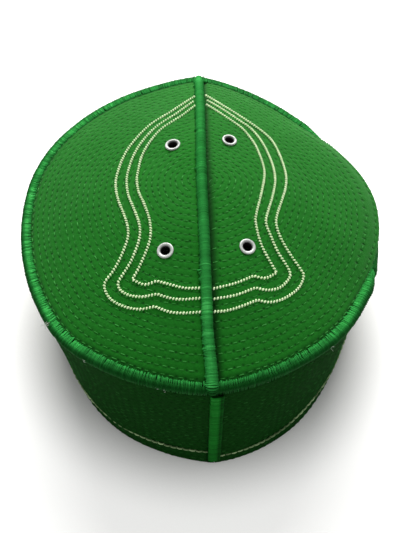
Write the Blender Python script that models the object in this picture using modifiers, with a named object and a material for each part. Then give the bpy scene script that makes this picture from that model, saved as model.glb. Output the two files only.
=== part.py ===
"""A quilted kufi cap: two tented crown halves, a stitched ridge and rim, a band in two halves.
Lengths are in millimetres until the points are handed to Blender. Front is -Y, left is -X."""

import math

import bmesh
import bpy
import numpy as np

MM = 0.001

# The cap's own sizes.
RIM_RADIUS = 90.0
FOOT_HALF_LENGTH = 98.5
FRONT_HEIGHT = 72.5
BACK_HEIGHT = 80.5
SIDE_HEIGHT = 68.5
RIDGE_RISE = 15.0
CROWN_FULLNESS = 1.5
CLOTH = 2.4
GAP = 0.35

# Where the rim's centre lies from the foot's: the crown leans a little left and back.
RIM_SHIFT_X = -3.5
RIM_SHIFT_Y = 5.3
RIM_CENTRE = (RIM_SHIFT_X, RIM_SHIFT_Y)

# Stitched edges.
CORD_RADIUS = 2.2
PIPING_RADIUS = 2.2

# On the right the crown rolls over the rim cord and hides it.
ROLL_START = 0.90
ROLL_DEGREES = 112.0
ROLL_DROP = 4.0

# Satin bars over the band's two upright seams.
BAR_WIDTH = 5.4
BAR_THICKNESS = 1.2
BAR_ABOVE_FOOT = 2.8
BAR_BELOW_RIM = 0.8
BAR_TOP_SHIFT = 2.2

# Eyelets.
FLANGE_RADIUS = 4.1
HOLE_RADIUS = 2.1
BARREL_RADIUS = 2.7
BACK_FLANGE_RADIUS = 3.7
FLANGE_THICKNESS = 0.9

# Columns: degrees round from the front seam, left radius, right radius as shares of RIM_RADIUS,
# and how far the crown is rolled over the cord on the right, 0 to 1.
RIM_OUTLINE = (
    (0, 1.014, 1.014, 0.0),
    (15, 1.004, 0.992, 0.0),
    (30, 1.004, 0.983, 0.0),
    (45, 1.012, 0.987, 0.0),
    (60, 0.990, 0.978, 0.25),
    (75, 0.979, 0.995, 0.75),
    (90, 0.983, 1.025, 1.0),
    (98, 0.990, 1.038, 1.0),
    (106, 1.001, 1.031, 1.0),
    (120, 1.006, 0.995, 0.75),
    (135, 0.994, 0.950, 0.35),
    (150, 0.986, 0.950, 0.05),
    (165, 0.992, 0.975, 0.0),
    (180, 1.022, 1.022, 0.0),
)

# Columns: degrees round from the front seam, left radius, right radius as shares of FOOT_HALF_LENGTH.
FOOT_OUTLINE = (
    (0, 1.000, 1.000),
    (15, 0.974, 0.968),
    (30, 0.950, 0.932),
    (45, 0.912, 0.888),
    (60, 0.873, 0.858),
    (75, 0.868, 0.862),
    (90, 0.873, 0.873),
    (120, 0.897, 0.897),
    (135, 0.923, 0.923),
    (150, 0.953, 0.953),
    (165, 0.975, 0.975),
    (180, 0.990, 0.990),
)

# Columns: eyelet, side (-1 left, 1 right), distance from the ridge and distance behind the rim's
# centre, both as shares of RIM_RADIUS.
EYELETS = (
    ("eyelet_front_left", -1, 0.200, -0.327),
    ("eyelet_front_right", 1, 0.218, -0.311),
    ("eyelet_back_left", -1, 0.157, 0.354),
    ("eyelet_back_right", 1, 0.162, 0.389),
)

SIDES = ((-1, "left"), (1, "right"))
TURNS = np.array([0, 2, *range(4, 177, 4), 178, 180], float)


def smooth_table(table, column, x):
    """A smooth curve through one column of a table, free to make a corner at both ends."""
    xs = np.array([row[0] for row in table], float)
    ys = np.array([row[column] for row in table], float)
    slopes = np.gradient(ys, xs)
    x = np.clip(x, xs[0], xs[-1])
    i = np.clip(np.searchsorted(xs, x, side="right") - 1, 0, len(xs) - 2)
    width = xs[i + 1] - xs[i]
    t = (x - xs[i]) / width
    return (
        ys[i] * (1 + 2 * t) * (1 - t) ** 2
        + ys[i + 1] * t * t * (3 - 2 * t)
        + slopes[i] * width * t * (1 - t) ** 2
        - slopes[i + 1] * width * t * t * (1 - t)
    )


def rim_radius(side, degrees):
    return RIM_RADIUS * smooth_table(RIM_OUTLINE, 1 if side < 0 else 2, degrees)


def roll_share(side, degrees):
    return 0.0 if side < 0 else max(0.0, smooth_table(RIM_OUTLINE, 3, degrees))


def foot_radius(side, degrees):
    return FOOT_HALF_LENGTH * smooth_table(FOOT_OUTLINE, 1 if side < 0 else 2, degrees)


def edge_radius(side, degrees):
    """Where a crown half ends, beside its cord."""
    return rim_radius(side, degrees) - CORD_RADIUS - GAP


def edge_outline(side):
    """The crown half's edge as (y, half width) pairs, front to back."""
    degrees = np.linspace(0, 180, 121)
    radii = np.array([edge_radius(side, d) for d in degrees])
    return -radii * np.cos(np.radians(degrees)), radii * np.sin(np.radians(degrees))


EDGES = {side: edge_outline(side) for side, _ in SIDES}


def lengthwise(front, back, y):
    return front + (back - front) * (1 + y / RIM_RADIUS) / 2


def arch(y):
    """1 over the rim's centre, falling to 0 at the crown's two ends."""
    reach = edge_radius(1, 0 if y < 0 else 180)
    return 1 - min(1.0, abs(y) / reach) ** 2


def rim_height(y):
    middle = SIDE_HEIGHT - (FRONT_HEIGHT + BACK_HEIGHT) / 2
    return lengthwise(FRONT_HEIGHT, BACK_HEIGHT, y) + middle * arch(y)


def ridge_height(y):
    return lengthwise(FRONT_HEIGHT, BACK_HEIGHT, y) + RIDGE_RISE * arch(y)


def crown_height(side, across, y):
    """Height of the crown's outer face, across and y measured from the rim's centre."""
    width = max(np.interp(y, *EDGES[side]), 1.0)
    share = min(abs(across) / width, 1.0)
    low = rim_height(y)
    return low + (ridge_height(y) - low) * (1 - share**CROWN_FULLNESS)


def crown_point(side, degrees, q):
    """A point of a crown half: q runs from the middle of the ridge, 0, to the edge, 1."""
    turn = math.radians(degrees)
    edge = edge_radius(side, degrees)
    share, drop = q, 0.0
    roll = roll_share(side, degrees)
    if q > ROLL_START and roll > 0:
        angle = math.radians(ROLL_DEGREES) * (q - ROLL_START) / (1 - ROLL_START)
        start = ROLL_START * edge
        rolled = start + (rim_radius(side, degrees) - start) * math.sin(angle)
        share += roll * (rolled / edge - q)
        drop = roll * ROLL_DROP * (1 - math.cos(angle)) / (1 - math.cos(math.radians(ROLL_DEGREES)))
    slot = PIPING_RADIUS + GAP
    across = slot + (max(edge * math.sin(turn), slot) - slot) * share
    y = -edge * math.cos(turn) * share
    return np.array([
        RIM_CENTRE[0] + side * across,
        RIM_CENTRE[1] + y,
        crown_height(side, across, y) - drop,
    ])


def cord_point(side, degrees):
    """The middle of the rim cord, just past the crown's edge and level with its wall."""
    edge = crown_point(side, degrees, 1.0)
    along = edge - crown_point(side, degrees, 0.985)
    along /= np.linalg.norm(along)
    down = np.array([0.0, 0.0, -1.0]) + along * along[2]
    down /= np.linalg.norm(down)
    return edge + along * (CORD_RADIUS + GAP) + down * CLOTH * 0.35


def band_point(side, degrees, h, inward):
    """A point of a band half: h runs from the foot, 0, to just under the cord, 1."""
    turn = math.radians(degrees)
    outward = np.array([side * math.sin(turn), -math.cos(turn), 0.0])
    foot = outward * (foot_radius(side, degrees) - inward)
    centre = np.array([*RIM_CENTRE, 0.0])
    cord = cord_point(side, degrees) - centre
    top = centre + outward * (math.hypot(cord[0], cord[1]) + CLOTH / 4 - inward)
    top[2] = cord[2] - 1.12 * CORD_RADIUS - GAP
    return foot + (top - foot) * h + np.array([side * GAP / 2, 0.0, 0.0])


def new_object(name, data):
    obj = bpy.data.objects.new(name, data)
    COLLECTION.objects.link(obj)
    return obj


def closed_mesh(name, points, faces):
    mesh = bpy.data.meshes.new(name)
    mesh.from_pydata([tuple(p * MM) for p in points], [], faces)
    bm = bmesh.new()
    bm.from_mesh(mesh)
    bmesh.ops.remove_doubles(bm, verts=bm.verts, dist=1e-7)
    bmesh.ops.recalc_face_normals(bm, faces=bm.faces)
    bm.to_mesh(mesh)
    bm.free()
    return new_object(name, mesh)


def paint(obj, colour, metallic, roughness):
    material = bpy.data.materials.new(obj.name)
    material.use_nodes = True
    shader = material.node_tree.nodes["Principled BSDF"]
    shader.inputs["Base Color"].default_value = (*colour, 1.0)
    shader.inputs["Metallic"].default_value = metallic
    shader.inputs["Roughness"].default_value = roughness
    obj.data.materials.clear()
    obj.data.materials.append(material)


def shade_smooth(obj):
    for face in obj.data.polygons:
        face.use_smooth = True


def modifier(obj, kind, **settings):
    item = obj.modifiers.new(kind.title(), kind)
    for key, value in settings.items():
        setattr(item, key, value)
    return item


def build_crown_half(side, word):
    """A fan of rows round the middle of the ridge, then given its cloth's thickness."""
    turns = TURNS
    shares = (0.0, 0.15, 0.3, 0.45, 0.6, 0.72, 0.82, ROLL_START, 0.93, 0.955, 0.98, 1.0)
    points = [crown_point(side, 0, 0.0)]
    for q in shares[1:]:
        points += [crown_point(side, turn, q) for turn in turns]
    count = len(turns)
    faces = [(0, 1 + i, 2 + i) for i in range(count - 1)]
    for ring in range(len(shares) - 2):
        first = 1 + ring * count
        for i in range(count - 1):
            a, b = first + i, first + i + 1
            faces.append((a, a + count, b + count, b))
    if side < 0:
        faces = [face[::-1] for face in faces]
    mesh = bpy.data.meshes.new("crown_" + word)
    mesh.from_pydata([tuple(p * MM) for p in points], [], faces)
    crown = new_object("crown_" + word, mesh)
    if mesh.polygons[0].normal.z < 0:
        mesh.flip_normals()
    modifier(crown, "SOLIDIFY", thickness=CLOTH * MM, offset=-1.0, use_even_offset=True)
    for name, eyelet_side, across, behind in EYELETS:
        if eyelet_side == side:
            cutter = hole_cutter(name, side, across, behind)
            modifier(crown, "BOOLEAN", object=cutter, operation="DIFFERENCE", solver="EXACT")
    paint(crown, (0.03, 0.2, 0.04), 0.0, 0.8)
    shade_smooth(crown)


def eyelet_frame(side, across, behind):
    """The spot and the outward direction of the crown at an eyelet."""
    x, y = across * RIM_RADIUS, behind * RIM_RADIUS
    step = 2.0
    height = crown_height(side, x, y)
    slope_x = (crown_height(side, x + step, y) - crown_height(side, x - step, y)) / (2 * step)
    slope_y = (crown_height(side, x, y + step) - crown_height(side, x, y - step)) / (2 * step)
    spot = np.array([RIM_CENTRE[0] + side * x, RIM_CENTRE[1] + y, height])
    out = np.array([-side * slope_x, -slope_y, 1.0])
    return spot, out / np.linalg.norm(out)


def place(mesh, spot, out):
    """Moves a mesh made along Z to a spot, its Z turned to the outward direction."""
    across = np.cross([0.0, 1.0, 0.0], out)
    across /= np.linalg.norm(across)
    along = np.cross(out, across)
    for vertex in mesh.vertices:
        local = np.array(vertex.co)
        vertex.co = spot * MM + across * local[0] + along * local[1] + out * local[2]


def hole_cutter(name, side, across, behind):
    bm = bmesh.new()
    bmesh.ops.create_cone(
        bm, cap_ends=True, segments=20, depth=6 * CLOTH * MM,
        radius1=(BARREL_RADIUS + GAP) * MM, radius2=(BARREL_RADIUS + GAP) * MM,
    )
    mesh = bpy.data.meshes.new(name + "_cutter")
    bm.to_mesh(mesh)
    bm.free()
    place(mesh, *eyelet_frame(side, across, behind))
    cutter = bpy.data.objects.new(name + "_cutter", mesh)
    CUTTERS.objects.link(cutter)
    cutter.hide_render = True
    cutter.display_type = "WIRE"
    return cutter


def build_eyelet(name, side, across, behind):
    """A turned grommet: rounded flange outside, barrel through the cloth, flat flange inside."""
    thick = FLANGE_THICKNESS
    top = GAP
    back = -CLOTH - GAP
    profile = (
        (HOLE_RADIUS, back - 0.55 * thick),
        (HOLE_RADIUS, top + 0.5 * thick),
        (HOLE_RADIUS + 0.4 * thick, top + 0.95 * thick),
        (HOLE_RADIUS + 1.05 * thick, top + 1.1 * thick),
        (FLANGE_RADIUS - 0.55 * thick, top + 0.85 * thick),
        (FLANGE_RADIUS, top + 0.3 * thick),
        (FLANGE_RADIUS - 0.17 * thick, top),
        (BARREL_RADIUS, top),
        (BARREL_RADIUS, back),
        (BACK_FLANGE_RADIUS, back),
        (BACK_FLANGE_RADIUS, back - 0.35 * thick),
        (HOLE_RADIUS + 0.45 * thick, back - 0.8 * thick),
    )
    mesh = bpy.data.meshes.new(name)
    count = len(profile)
    mesh.from_pydata(
        [(r * MM, 0.0, z * MM) for r, z in profile], [(i, (i + 1) % count) for i in range(count)], []
    )
    turned = new_object(name, mesh)
    modifier(
        turned, "SCREW", angle=math.tau, steps=20, render_steps=20, axis="Z",
        use_merge_vertices=True, merge_threshold=1e-5, use_normal_calculate=True,
    )
    finished = bpy.data.meshes.new_from_object(turned.evaluated_get(bpy.context.evaluated_depsgraph_get()))
    turned.modifiers.clear()
    turned.data = finished
    finished.name = name
    bm = bmesh.new()
    bm.from_mesh(finished)
    bmesh.ops.recalc_face_normals(bm, faces=bm.faces)
    bm.to_mesh(finished)
    bm.free()
    place(finished, *eyelet_frame(side, across, behind))
    paint(turned, (0.75, 0.76, 0.78), 1.0, 0.25)
    shade_smooth(turned)


def build_band_half(side, word):
    """A wall swept round from the front seam to the back seam, on a flat foot."""
    turns = TURNS
    levels = (0.0, 0.35, 0.7, 1.0)
    section = [(h, 0.0) for h in levels] + [(h, CLOTH) for h in levels[::-1]]
    count = len(section)
    points = [band_point(side, turn, h, inward) for turn in turns for h, inward in section]
    faces = []
    for i in range(len(turns) - 1):
        for j in range(count):
            a, b = i * count + j, i * count + (j + 1) % count
            faces.append((a, b, b + count, a + count))
    last = (len(turns) - 1) * count
    faces.append(tuple(range(count)))
    faces.append(tuple(range(last + count - 1, last - 1, -1)))
    band = closed_mesh("band_" + word, points, faces)
    paint(band, (0.02, 0.12, 0.03), 0.0, 0.85)


def build_tube(name, points, radius, colour):
    """A round stitched edge along a path."""
    curve = bpy.data.curves.new(name, "CURVE")
    curve.dimensions = "3D"
    curve.bevel_depth = radius * MM
    curve.bevel_resolution = 2
    curve.use_fill_caps = True
    spline = curve.splines.new("POLY")
    spline.points.add(len(points) - 1)
    for target, point in zip(spline.points, points):
        target.co = (*(point * MM), 1.0)
    tube = new_object(name, curve)
    paint(tube, colour, 0.0, 0.6)


def build_rim_cord(side, word):
    """Starts and ends beside the ridge piping."""
    points = [cord_point(side, turn) for turn in TURNS[1:-1]]
    build_tube("rim_cord_" + word, points, CORD_RADIUS, (0.03, 0.3, 0.06))


def build_ridge_piping():
    """Runs over the ridge and turns down over the rim at both ends."""
    ends = []
    for degrees, sign in ((0, -1), (180, 1)):
        radius = rim_radius(1, degrees)
        tip_y, height = RIM_CENTRE[1] + sign * radius, rim_height(sign * radius)
        ends.append([
            np.array([
                RIM_CENTRE[0], tip_y + sign * out * PIPING_RADIUS, height + up * PIPING_RADIUS
            ])
            for out, up in ((0.68, -0.55), (0.27, 0.0), (-0.45, 0.34), (-1.36, 0.45))
        ])
    inner = [
        np.array([RIM_CENTRE[0], RIM_CENTRE[1] + y, ridge_height(y) + 0.14 * PIPING_RADIUS])
        for y in np.linspace(-0.92, 0.92, 29) * RIM_RADIUS
    ]
    build_tube("ridge_piping", ends[0] + inner + ends[1][::-1], PIPING_RADIUS, (0.04, 0.35, 0.1))


def build_seam_bar(name, degrees, shift):
    """A flat satin bar lying on the upright seam."""
    foot = (band_point(-1, degrees, 0.0, 0.0) + band_point(1, degrees, 0.0, 0.0)) / 2
    top = (band_point(-1, degrees, 1.0, 0.0) + band_point(1, degrees, 1.0, 0.0)) / 2
    length = np.linalg.norm(top - foot)
    low = foot + (top - foot) * BAR_ABOVE_FOOT / length
    high = foot + (top - foot) * (1 - BAR_BELOW_RIM / length) + np.array([shift, 0.0, 0.0])
    up = (high - low) / np.linalg.norm(high - low)
    outward = np.array([0.0, math.copysign(1.0, foot[1]), 0.0])
    outward -= up * (outward @ up)
    outward /= np.linalg.norm(outward)
    across = np.cross(outward, up)
    middle = (low + high) / 2 + outward * (GAP + BAR_THICKNESS / 2)
    size = (BAR_WIDTH, BAR_THICKNESS, np.linalg.norm(high - low))
    bm = bmesh.new()
    bmesh.ops.create_cube(bm, size=1.0)
    mesh = bpy.data.meshes.new(name)
    bm.to_mesh(mesh)
    bm.free()
    for vertex in mesh.vertices:
        x, y, z = (vertex.co[i] * size[i] for i in range(3))
        vertex.co = (middle + across * x + outward * y + up * z) * MM
    bar = new_object(name, mesh)
    modifier(bar, "BEVEL", width=BAR_THICKNESS * 0.3 * MM, segments=2, limit_method="ANGLE")
    paint(bar, (0.03, 0.3, 0.06), 0.0, 0.6)


def centre_over_floor():
    """Moves every piece so that the whole stands on z = 0 with its middle over the origin."""
    bpy.context.view_layer.update()
    depsgraph = bpy.context.evaluated_depsgraph_get()
    corners = []
    for obj in COLLECTION.objects:
        mesh = obj.evaluated_get(depsgraph).to_mesh()
        corners += [obj.matrix_world @ vertex.co for vertex in mesh.vertices]
    corners = np.array(corners)
    low, high = corners.min(axis=0), corners.max(axis=0)
    move = np.array([-(low[0] + high[0]) / 2, -(low[1] + high[1]) / 2, -low[2]])
    for obj in [*COLLECTION.objects, *CUTTERS.objects]:
        obj.location = np.array(obj.location) + move


for old in list(bpy.data.objects):
    bpy.data.objects.remove(old)

COLLECTION = bpy.data.collections.new("kufi_cap")
CUTTERS = bpy.data.collections.new("cutters")
for group in (COLLECTION, CUTTERS):
    bpy.context.scene.collection.children.link(group)

for cap_side, side_word in SIDES:
    build_crown_half(cap_side, side_word)
    build_band_half(cap_side, side_word)
    build_rim_cord(cap_side, side_word)
build_ridge_piping()
build_seam_bar("front_seam_bar", 0, BAR_TOP_SHIFT)
build_seam_bar("back_seam_bar", 180, 0.0)
for eyelet in EYELETS:
    build_eyelet(*eyelet)
centre_over_floor()
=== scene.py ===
import math
from collections import namedtuple

import bmesh
import bpy
import numpy as np
from bpy.props import FloatProperty, FloatVectorProperty, IntProperty, PointerProperty
from mathutils import Matrix, Vector


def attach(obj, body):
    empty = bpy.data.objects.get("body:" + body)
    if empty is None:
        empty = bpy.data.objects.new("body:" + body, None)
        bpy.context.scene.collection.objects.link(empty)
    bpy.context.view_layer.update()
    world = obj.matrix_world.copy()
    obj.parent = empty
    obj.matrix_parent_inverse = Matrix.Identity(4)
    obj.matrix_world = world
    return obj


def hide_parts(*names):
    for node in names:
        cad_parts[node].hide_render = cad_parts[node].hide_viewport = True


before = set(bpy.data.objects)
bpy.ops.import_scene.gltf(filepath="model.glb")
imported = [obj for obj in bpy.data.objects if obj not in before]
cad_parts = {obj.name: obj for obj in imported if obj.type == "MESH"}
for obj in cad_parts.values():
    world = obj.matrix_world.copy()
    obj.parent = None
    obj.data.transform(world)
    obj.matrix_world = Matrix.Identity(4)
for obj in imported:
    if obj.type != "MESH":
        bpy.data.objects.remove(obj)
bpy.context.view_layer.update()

bl_info = {
    "name": "Quilted Kufi Cap",
    "version": (1, 0, 0),
    "blender": (4, 5, 0),
    "location": "3D View > Sidebar > Kufi Cap",
    "description": "Cloth, quilting, satin edges, embroidery and eyelets of a quilted kufi cap",
    "category": "Add Mesh",
}

# Lengths are in millimetres until points are handed to Blender. Front is -Y, left is -X.
MM = 0.001

# The cap's own sizes, as in the part.
RIM_RADIUS = 90.0
FOOT_HALF_LENGTH = 98.5
FRONT_HEIGHT = 72.5
BACK_HEIGHT = 80.5
SIDE_HEIGHT = 68.5
RIDGE_RISE = 15.0
CROWN_FULLNESS = 1.5
CLOTH = 2.4
GAP = 0.35
RIM_CENTRE = np.array((-3.5, 5.3))
CORD_RADIUS = 2.2
PIPING_RADIUS = 2.2
SLOT = PIPING_RADIUS + GAP
ROLL_START = 0.90
ROLL_DEGREES = 112.0
ROLL_DROP = 4.0
BAR_WIDTH = 5.4
BAR_THICKNESS = 1.2
BAR_ABOVE_FOOT = 2.8
BAR_BELOW_RIM = 0.8
BAR_TOP_SHIFT = 2.2
HOLE_RADIUS = 2.1
BARREL_RADIUS = 2.7
FLANGE_RADIUS = 4.1
BACK_FLANGE_RADIUS = 3.7
# The part stands with the middle of its box over the origin.
OVER_FLOOR = np.array((2.162, -0.537, 0.0))
# Where the ridge then runs, in metres.
RIDGE_PLACE = (RIM_CENTRE[0] + OVER_FLOOR[0]) * MM
# Shares of CLOTH and CORD_RADIUS: how far the cord hangs below the crown's edge, and how far the
# band's top is under the cord's middle.
CORD_HANG = 0.35
BAND_TOP_DROP = 1.12

# Where the real cap leaves the part's plain forms: the ridge bends to the right at the back and
# in front, over this width, and the seam bars end higher above the foot.
RIDGE_BEND = 1.9
FRONT_BEND = 1.25
FRONT_BEND_START = 0.7
BEND_WIDTH = 34.0
BAR_LIFT = 3.5
# How far the cloth's face stands off the part's.
CROWN_SKIN = 0.15
BAND_SKIN = 0.1
# How deep the crown is drawn in beside the ridge.
RIDGE_GROOVE = {-1: 0.3, 1: 1.5}

# Columns: degrees round from the front seam, left and right radius as shares of RIM_RADIUS,
# how far the crown is rolled over the cord on the right.
RIM_OUTLINE = (
    (0, 1.014, 1.014, 0.0), (15, 1.004, 0.992, 0.0), (30, 1.004, 0.983, 0.0),
    (45, 1.012, 0.987, 0.0), (60, 0.990, 0.978, 0.25), (75, 0.979, 0.995, 0.75),
    (90, 0.983, 1.025, 1.0), (98, 0.990, 1.038, 1.0), (106, 1.001, 1.031, 1.0),
    (120, 1.006, 0.995, 0.75), (135, 0.994, 0.950, 0.35), (150, 0.986, 0.950, 0.05),
    (165, 0.992, 0.975, 0.0), (180, 1.022, 1.022, 0.0),
)

# Columns: degrees round from the front seam, left and right radius as shares of FOOT_HALF_LENGTH.
FOOT_OUTLINE = (
    (0, 1.000, 1.000), (15, 0.974, 0.968), (30, 0.950, 0.932), (45, 0.912, 0.888),
    (60, 0.873, 0.858), (75, 0.868, 0.862), (90, 0.873, 0.873), (120, 0.897, 0.897),
    (135, 0.923, 0.923), (150, 0.953, 0.953), (165, 0.975, 0.975), (180, 0.990, 0.990),
)

# Columns: eyelet, side, distance from the ridge and behind the rim's centre as shares of RIM_RADIUS.
EYELETS = (
    ("eyelet_front_left", -1, 0.200, -0.327),
    ("eyelet_front_right", 1, 0.218, -0.311),
    ("eyelet_back_left", -1, 0.157, 0.354),
    ("eyelet_back_right", 1, 0.162, 0.389),
)

# The embroidered sandal outline, one run of stitching to a row of pairs: millimetres from the
# ridge and behind the rim's centre. Each line has a long run and a short one that meet in a notch.
EMBROIDERY = {
    -1: (
        ((2.6, 71.5), (15, 59), (25.5, 50), (33, 40), (38, 30.5), (41, 20), (42, 11.5), (40.5, 2),
         (37.5, -7), (35.5, -14.5), (35.5, -21), (38.5, -29.5), (42, -36), (45.5, -40.5),
         (45.5, -44.5), (42.5, -49.5), (36.5, -53.5), (29.5, -55.5), (23, -55)),
        ((23, -55), (16.5, -58), (10, -59), (2.6, -59)),
        ((3.5, 66.5), (12.5, 56.5), (22.5, 47.5), (29.5, 37.5), (33.5, 28.5), (36, 18.5),
         (36.5, 11.5), (35.5, 3.5), (32.5, -5.5), (30, -14), (30, -22), (33.5, -32), (37.5, -38.5),
         (39.5, -42), (38.5, -45.5), (34.5, -48.5), (28.5, -50), (22, -49.5)),
        ((22, -49.5), (16, -52), (10.5, -53), (2.6, -53)),
        ((2.6, 62.5), (10, 54), (20, 45), (26, 35.5), (29.5, 26.5), (31, 17.5), (31.5, 12),
         (30.5, 4.5), (27.5, -4), (25, -13.5), (25, -23), (29, -34), (33, -41.5)),
        ((33, -41.5), (27.5, -44.5), (22, -43.5)),
        ((22, -43.5), (15.5, -46), (9.5, -48), (2.6, -48.5)),
    ),
    1: (
        ((2.8, 72.5), (12, 64), (22.5, 55), (32.5, 46), (38, 38.5), (41, 28), (42.5, 16.5),
         (41.5, 8), (39, 0.5), (35.5, -9), (34.5, -14.5), (36, -21.5), (40, -29.5), (44.5, -36.5),
         (45.5, -39.5), (42.5, -45.5), (35.5, -51), (28.5, -53.5), (22.5, -53)),
        ((22.5, -53), (14.5, -56.5), (8, -58.5), (2.6, -59)),
        ((3.5, 67.5), (12, 60), (20, 52.5), (27, 46), (32.5, 35.5), (36, 22), (36.5, 12),
         (34.5, 2.5), (30.5, -9.5), (29.5, -14), (30.5, -19), (34, -29), (38.5, -37), (38.5, -41),
         (34, -46), (28, -48), (22, -47.5)),
        ((22, -47.5), (12.5, -51.5), (2.6, -53.5)),
        ((3, 63.5), (12.5, 54.5), (21.5, 46), (25.5, 39.5), (28.5, 32.5), (31, 21), (31, 12.5),
         (28, 0), (25, -10.5), (24.5, -16), (26.5, -27), (32.5, -39.5)),
        ((32.5, -39.5), (27, -42.5), (21.5, -42)),
        ((21.5, -42), (13, -46), (2.6, -49)),
    ),
}

# Columns: degrees round from the front seam, how thick the stitched rim is, left and right,
# as a share of the cord.
RIM_THICKNESS = (
    (0, 0.74, 0.5), (12, 0.84, 0.5), (25, 0.92, 0.64), (34, 0.94, 0.92), (48, 0.96, 1.06),
    (60, 0.98, 1.22), (68, 0.98, 1.42), (76, 0.98, 1.42), (86, 0.98, 1.0), (120, 0.92, 0.85),
    (150, 0.9, 0.78), (180, 0.85, 0.8),
)

# The stations of a rim stitch. On the crown: how far in from its edge, and up. On the cord:
# degrees on from the crown. On the band: how far out from its face, and down.
RIM_STITCH = (
    ("crown", 0.5, -0.5), ("crown", 0.1, 0.3), ("cord", 38, 0), ("cord", 66, 0), ("cord", 94, 0),
    ("cord", 124, 0), ("cord", 154, 0), ("cord", 182, 0), ("band", 0.2, 0.0), ("band", -0.5, 0.3),
)
# Its thickness at each station, then its painted light and shade, at the sides and in front.
RIM_TAPER = (1.0, 1.0, 1.0, 1.0, 1.0, 1.0, 1.0, 1.0, 0.5, 0.5)
RIM_SIDE_SHADING = (0.5, 0.7, 0.95, 0.85, 0.35, 0.05, 0.0, 0.0, 0.0, 0.0)
RIM_FRONT_SHADING = (0.12, 0.6, 0.1, 0.0, 0.0, 0.0, 0.0, 0.0, 0.0, 0.0)
# Columns: degrees round from the front seam, how far the left and right rim take the side's painted light and
# shade instead of the front's.
RIM_SIDE_SHADING_SHARE = (
    (0, 0.05, 0.0), (15, 0.1, 0.0), (28, 0.2, 0.25), (42, 0.7, 0.7), (60, 1.0, 0.95),
    (120, 1.05, 0.9), (150, 0.9, 0.7), (180, 0.5, 0.4),
)

# The ridge's ends over the rim, each from its tip inward: how far out from the rim and how far
# up, as shares of PIPING_RADIUS.
RIDGE_FRONT_END = ((-0.3, -1.15), (-0.3, -0.6), (-0.5, 0.0), (-0.95, 0.3), (-1.6, 0.42))
RIDGE_BACK_END = ((0.35, -1.5), (0.1, -1.0), (-0.45, -0.6), (-1.36, -0.2))
# The stations of a ridge stitch: degrees from the top, left to right, how high over the piping and its
# painted light and shade.
RIDGE_STITCH = (
    (-112, -0.5, 0.4), (-90, 0.0, 0.6), (-58, 0.0, 0.85), (-28, 0.0, 1.0), (0, 0.0, 0.95),
    (28, 0.0, 0.65), (58, 0.0, 0.4), (90, 0.0, 0.15), (118, -0.4, 0.0),
)

# Columns: share of the way across a seam bar, the height of its thread, its painted light and shade.
BAR_STITCH = (
    (-0.54, -0.35, 0.2), (-0.48, 0.75, 0.8), (-0.25, 1.0, 0.85), (0.08, 1.0, 0.85), (0.22, 0.9, 0.5),
    (0.34, 0.6, 0.05), (0.47, 0.75, 0.3), (0.54, -0.35, 0.1),
)
# Columns: share of the way across a seam bar, the height of the core under the thread.
BAR_CORE = ((-0.48, -0.3), (-0.46, 0.55), (0.1, 0.8), (0.3, 0.55), (0.46, 0.5), (0.48, -0.3))
# The painted shade on what lies under the satin threads.
CORE_SHADE = 0.1

# Columns: degrees round from the front seam, how high the pale hem line runs, left and right.
HEM_HEIGHT = (
    (0, 13.5, 8.5), (20, 11.0, 9.0), (35, 11.0, 13.0), (60, 12.0, 13.0), (180, 12.0, 12.0),
)

# Painted shade down an eyelet's throat, and how much more painted shade a back eyelet gets from its dome to
# there.
THROAT_SHADE = (1.0, 0.95, 0.8, 0.5, 0.2, 0.0, 0.0)
BACK_EYELET_SHADE = (0.85, 0.7, 0.6, 0.5, 0.5, 0.45, 0.45, 0.45, 0.45, 0.4)

# The stations of a quilting stitch: how far along its pitch, how thick.
QUILT_STITCH = ((0.1, 0.6), (0.3, 1.0), (0.64, 1.0), (0.86, 0.6))
# The stations of an embroidered bead: how far along its half length, how high, how thick.
BEAD_STITCH = ((-1.0, 0.0, 0.45), (-0.62, 0.4, 0.95), (0.0, 0.56, 1.05), (0.62, 0.4, 0.95), (1.0, 0.0, 0.45))
# Degrees between a bead and its line.
BEAD_SLANT = 58
# The stations of a hem stitch: how far along its pitch, how high, how thick.
HEM_STITCH = ((0.04, -0.5, 0.6), (0.14, 0.25, 1.0), (0.5, 0.42, 1.0), (0.86, 0.25, 1.0), (0.96, -0.5, 0.6))

# Columns: side, degrees round from the front seam, how far down from the top of the rim, size.
LINT = (
    (-1, 52.0, 0.0, 2.2), (-1, 36.0, 1.2, 1.1), (-1, 14.5, 2.6, 1.0), (-1, 12.5, 2.8, 1.0),
    (1, 17.0, 5.5, 0.9), (1, 38.0, 0.8, 1.3),
)

SIDES = ((-1, "left"), (1, "right"))
# How far behind the rim's centre the crown's quilting has its middle.
QUILT_MIDDLE = 8.5
# How far a quilting row strays, as a share of the pitch, and in waves of what lengths.
SWAY = 0.04
SWAY_WAVES = (7.0, 3.1, 19.0)
# From one yarn of the woven cloth to the next.
WEAVE_PITCH = 0.62
# A stitch number, distance off the row and row that put a face corner off the quilting.
UNSTITCHED = (0.5, 5.0, 0.0)
# The crown cloth's mesh outside and inside: rings to a row of quilting, columns at the edge.
OUTER_MESH = (4, 448)
INNER_MESH = (2, 112)
# The band cloth's mesh: rings to a row of quilting, columns.
BAND_MESH = (3, 384)
DENSE = np.linspace(0.0, 180.0, 361)
QuiltRow = namedtuple("QuiltRow", "share progress stitches phase sway")


def smooth_table(table, column, x):
    """A smooth curve through one column of a table, free to make a corner at both ends."""
    xs = np.array([row[0] for row in table], float)
    ys = np.array([row[column] for row in table], float)
    slopes = np.gradient(ys, xs)
    x = np.clip(x, xs[0], xs[-1])
    i = np.clip(np.searchsorted(xs, x, side="right") - 1, 0, len(xs) - 2)
    width = xs[i + 1] - xs[i]
    t = (x - xs[i]) / width
    return (
        ys[i] * (1 + 2 * t) * (1 - t) ** 2
        + ys[i + 1] * t * t * (3 - 2 * t)
        + slopes[i] * width * t * (1 - t) ** 2
        - slopes[i + 1] * width * t * t * (1 - t)
    )


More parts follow.
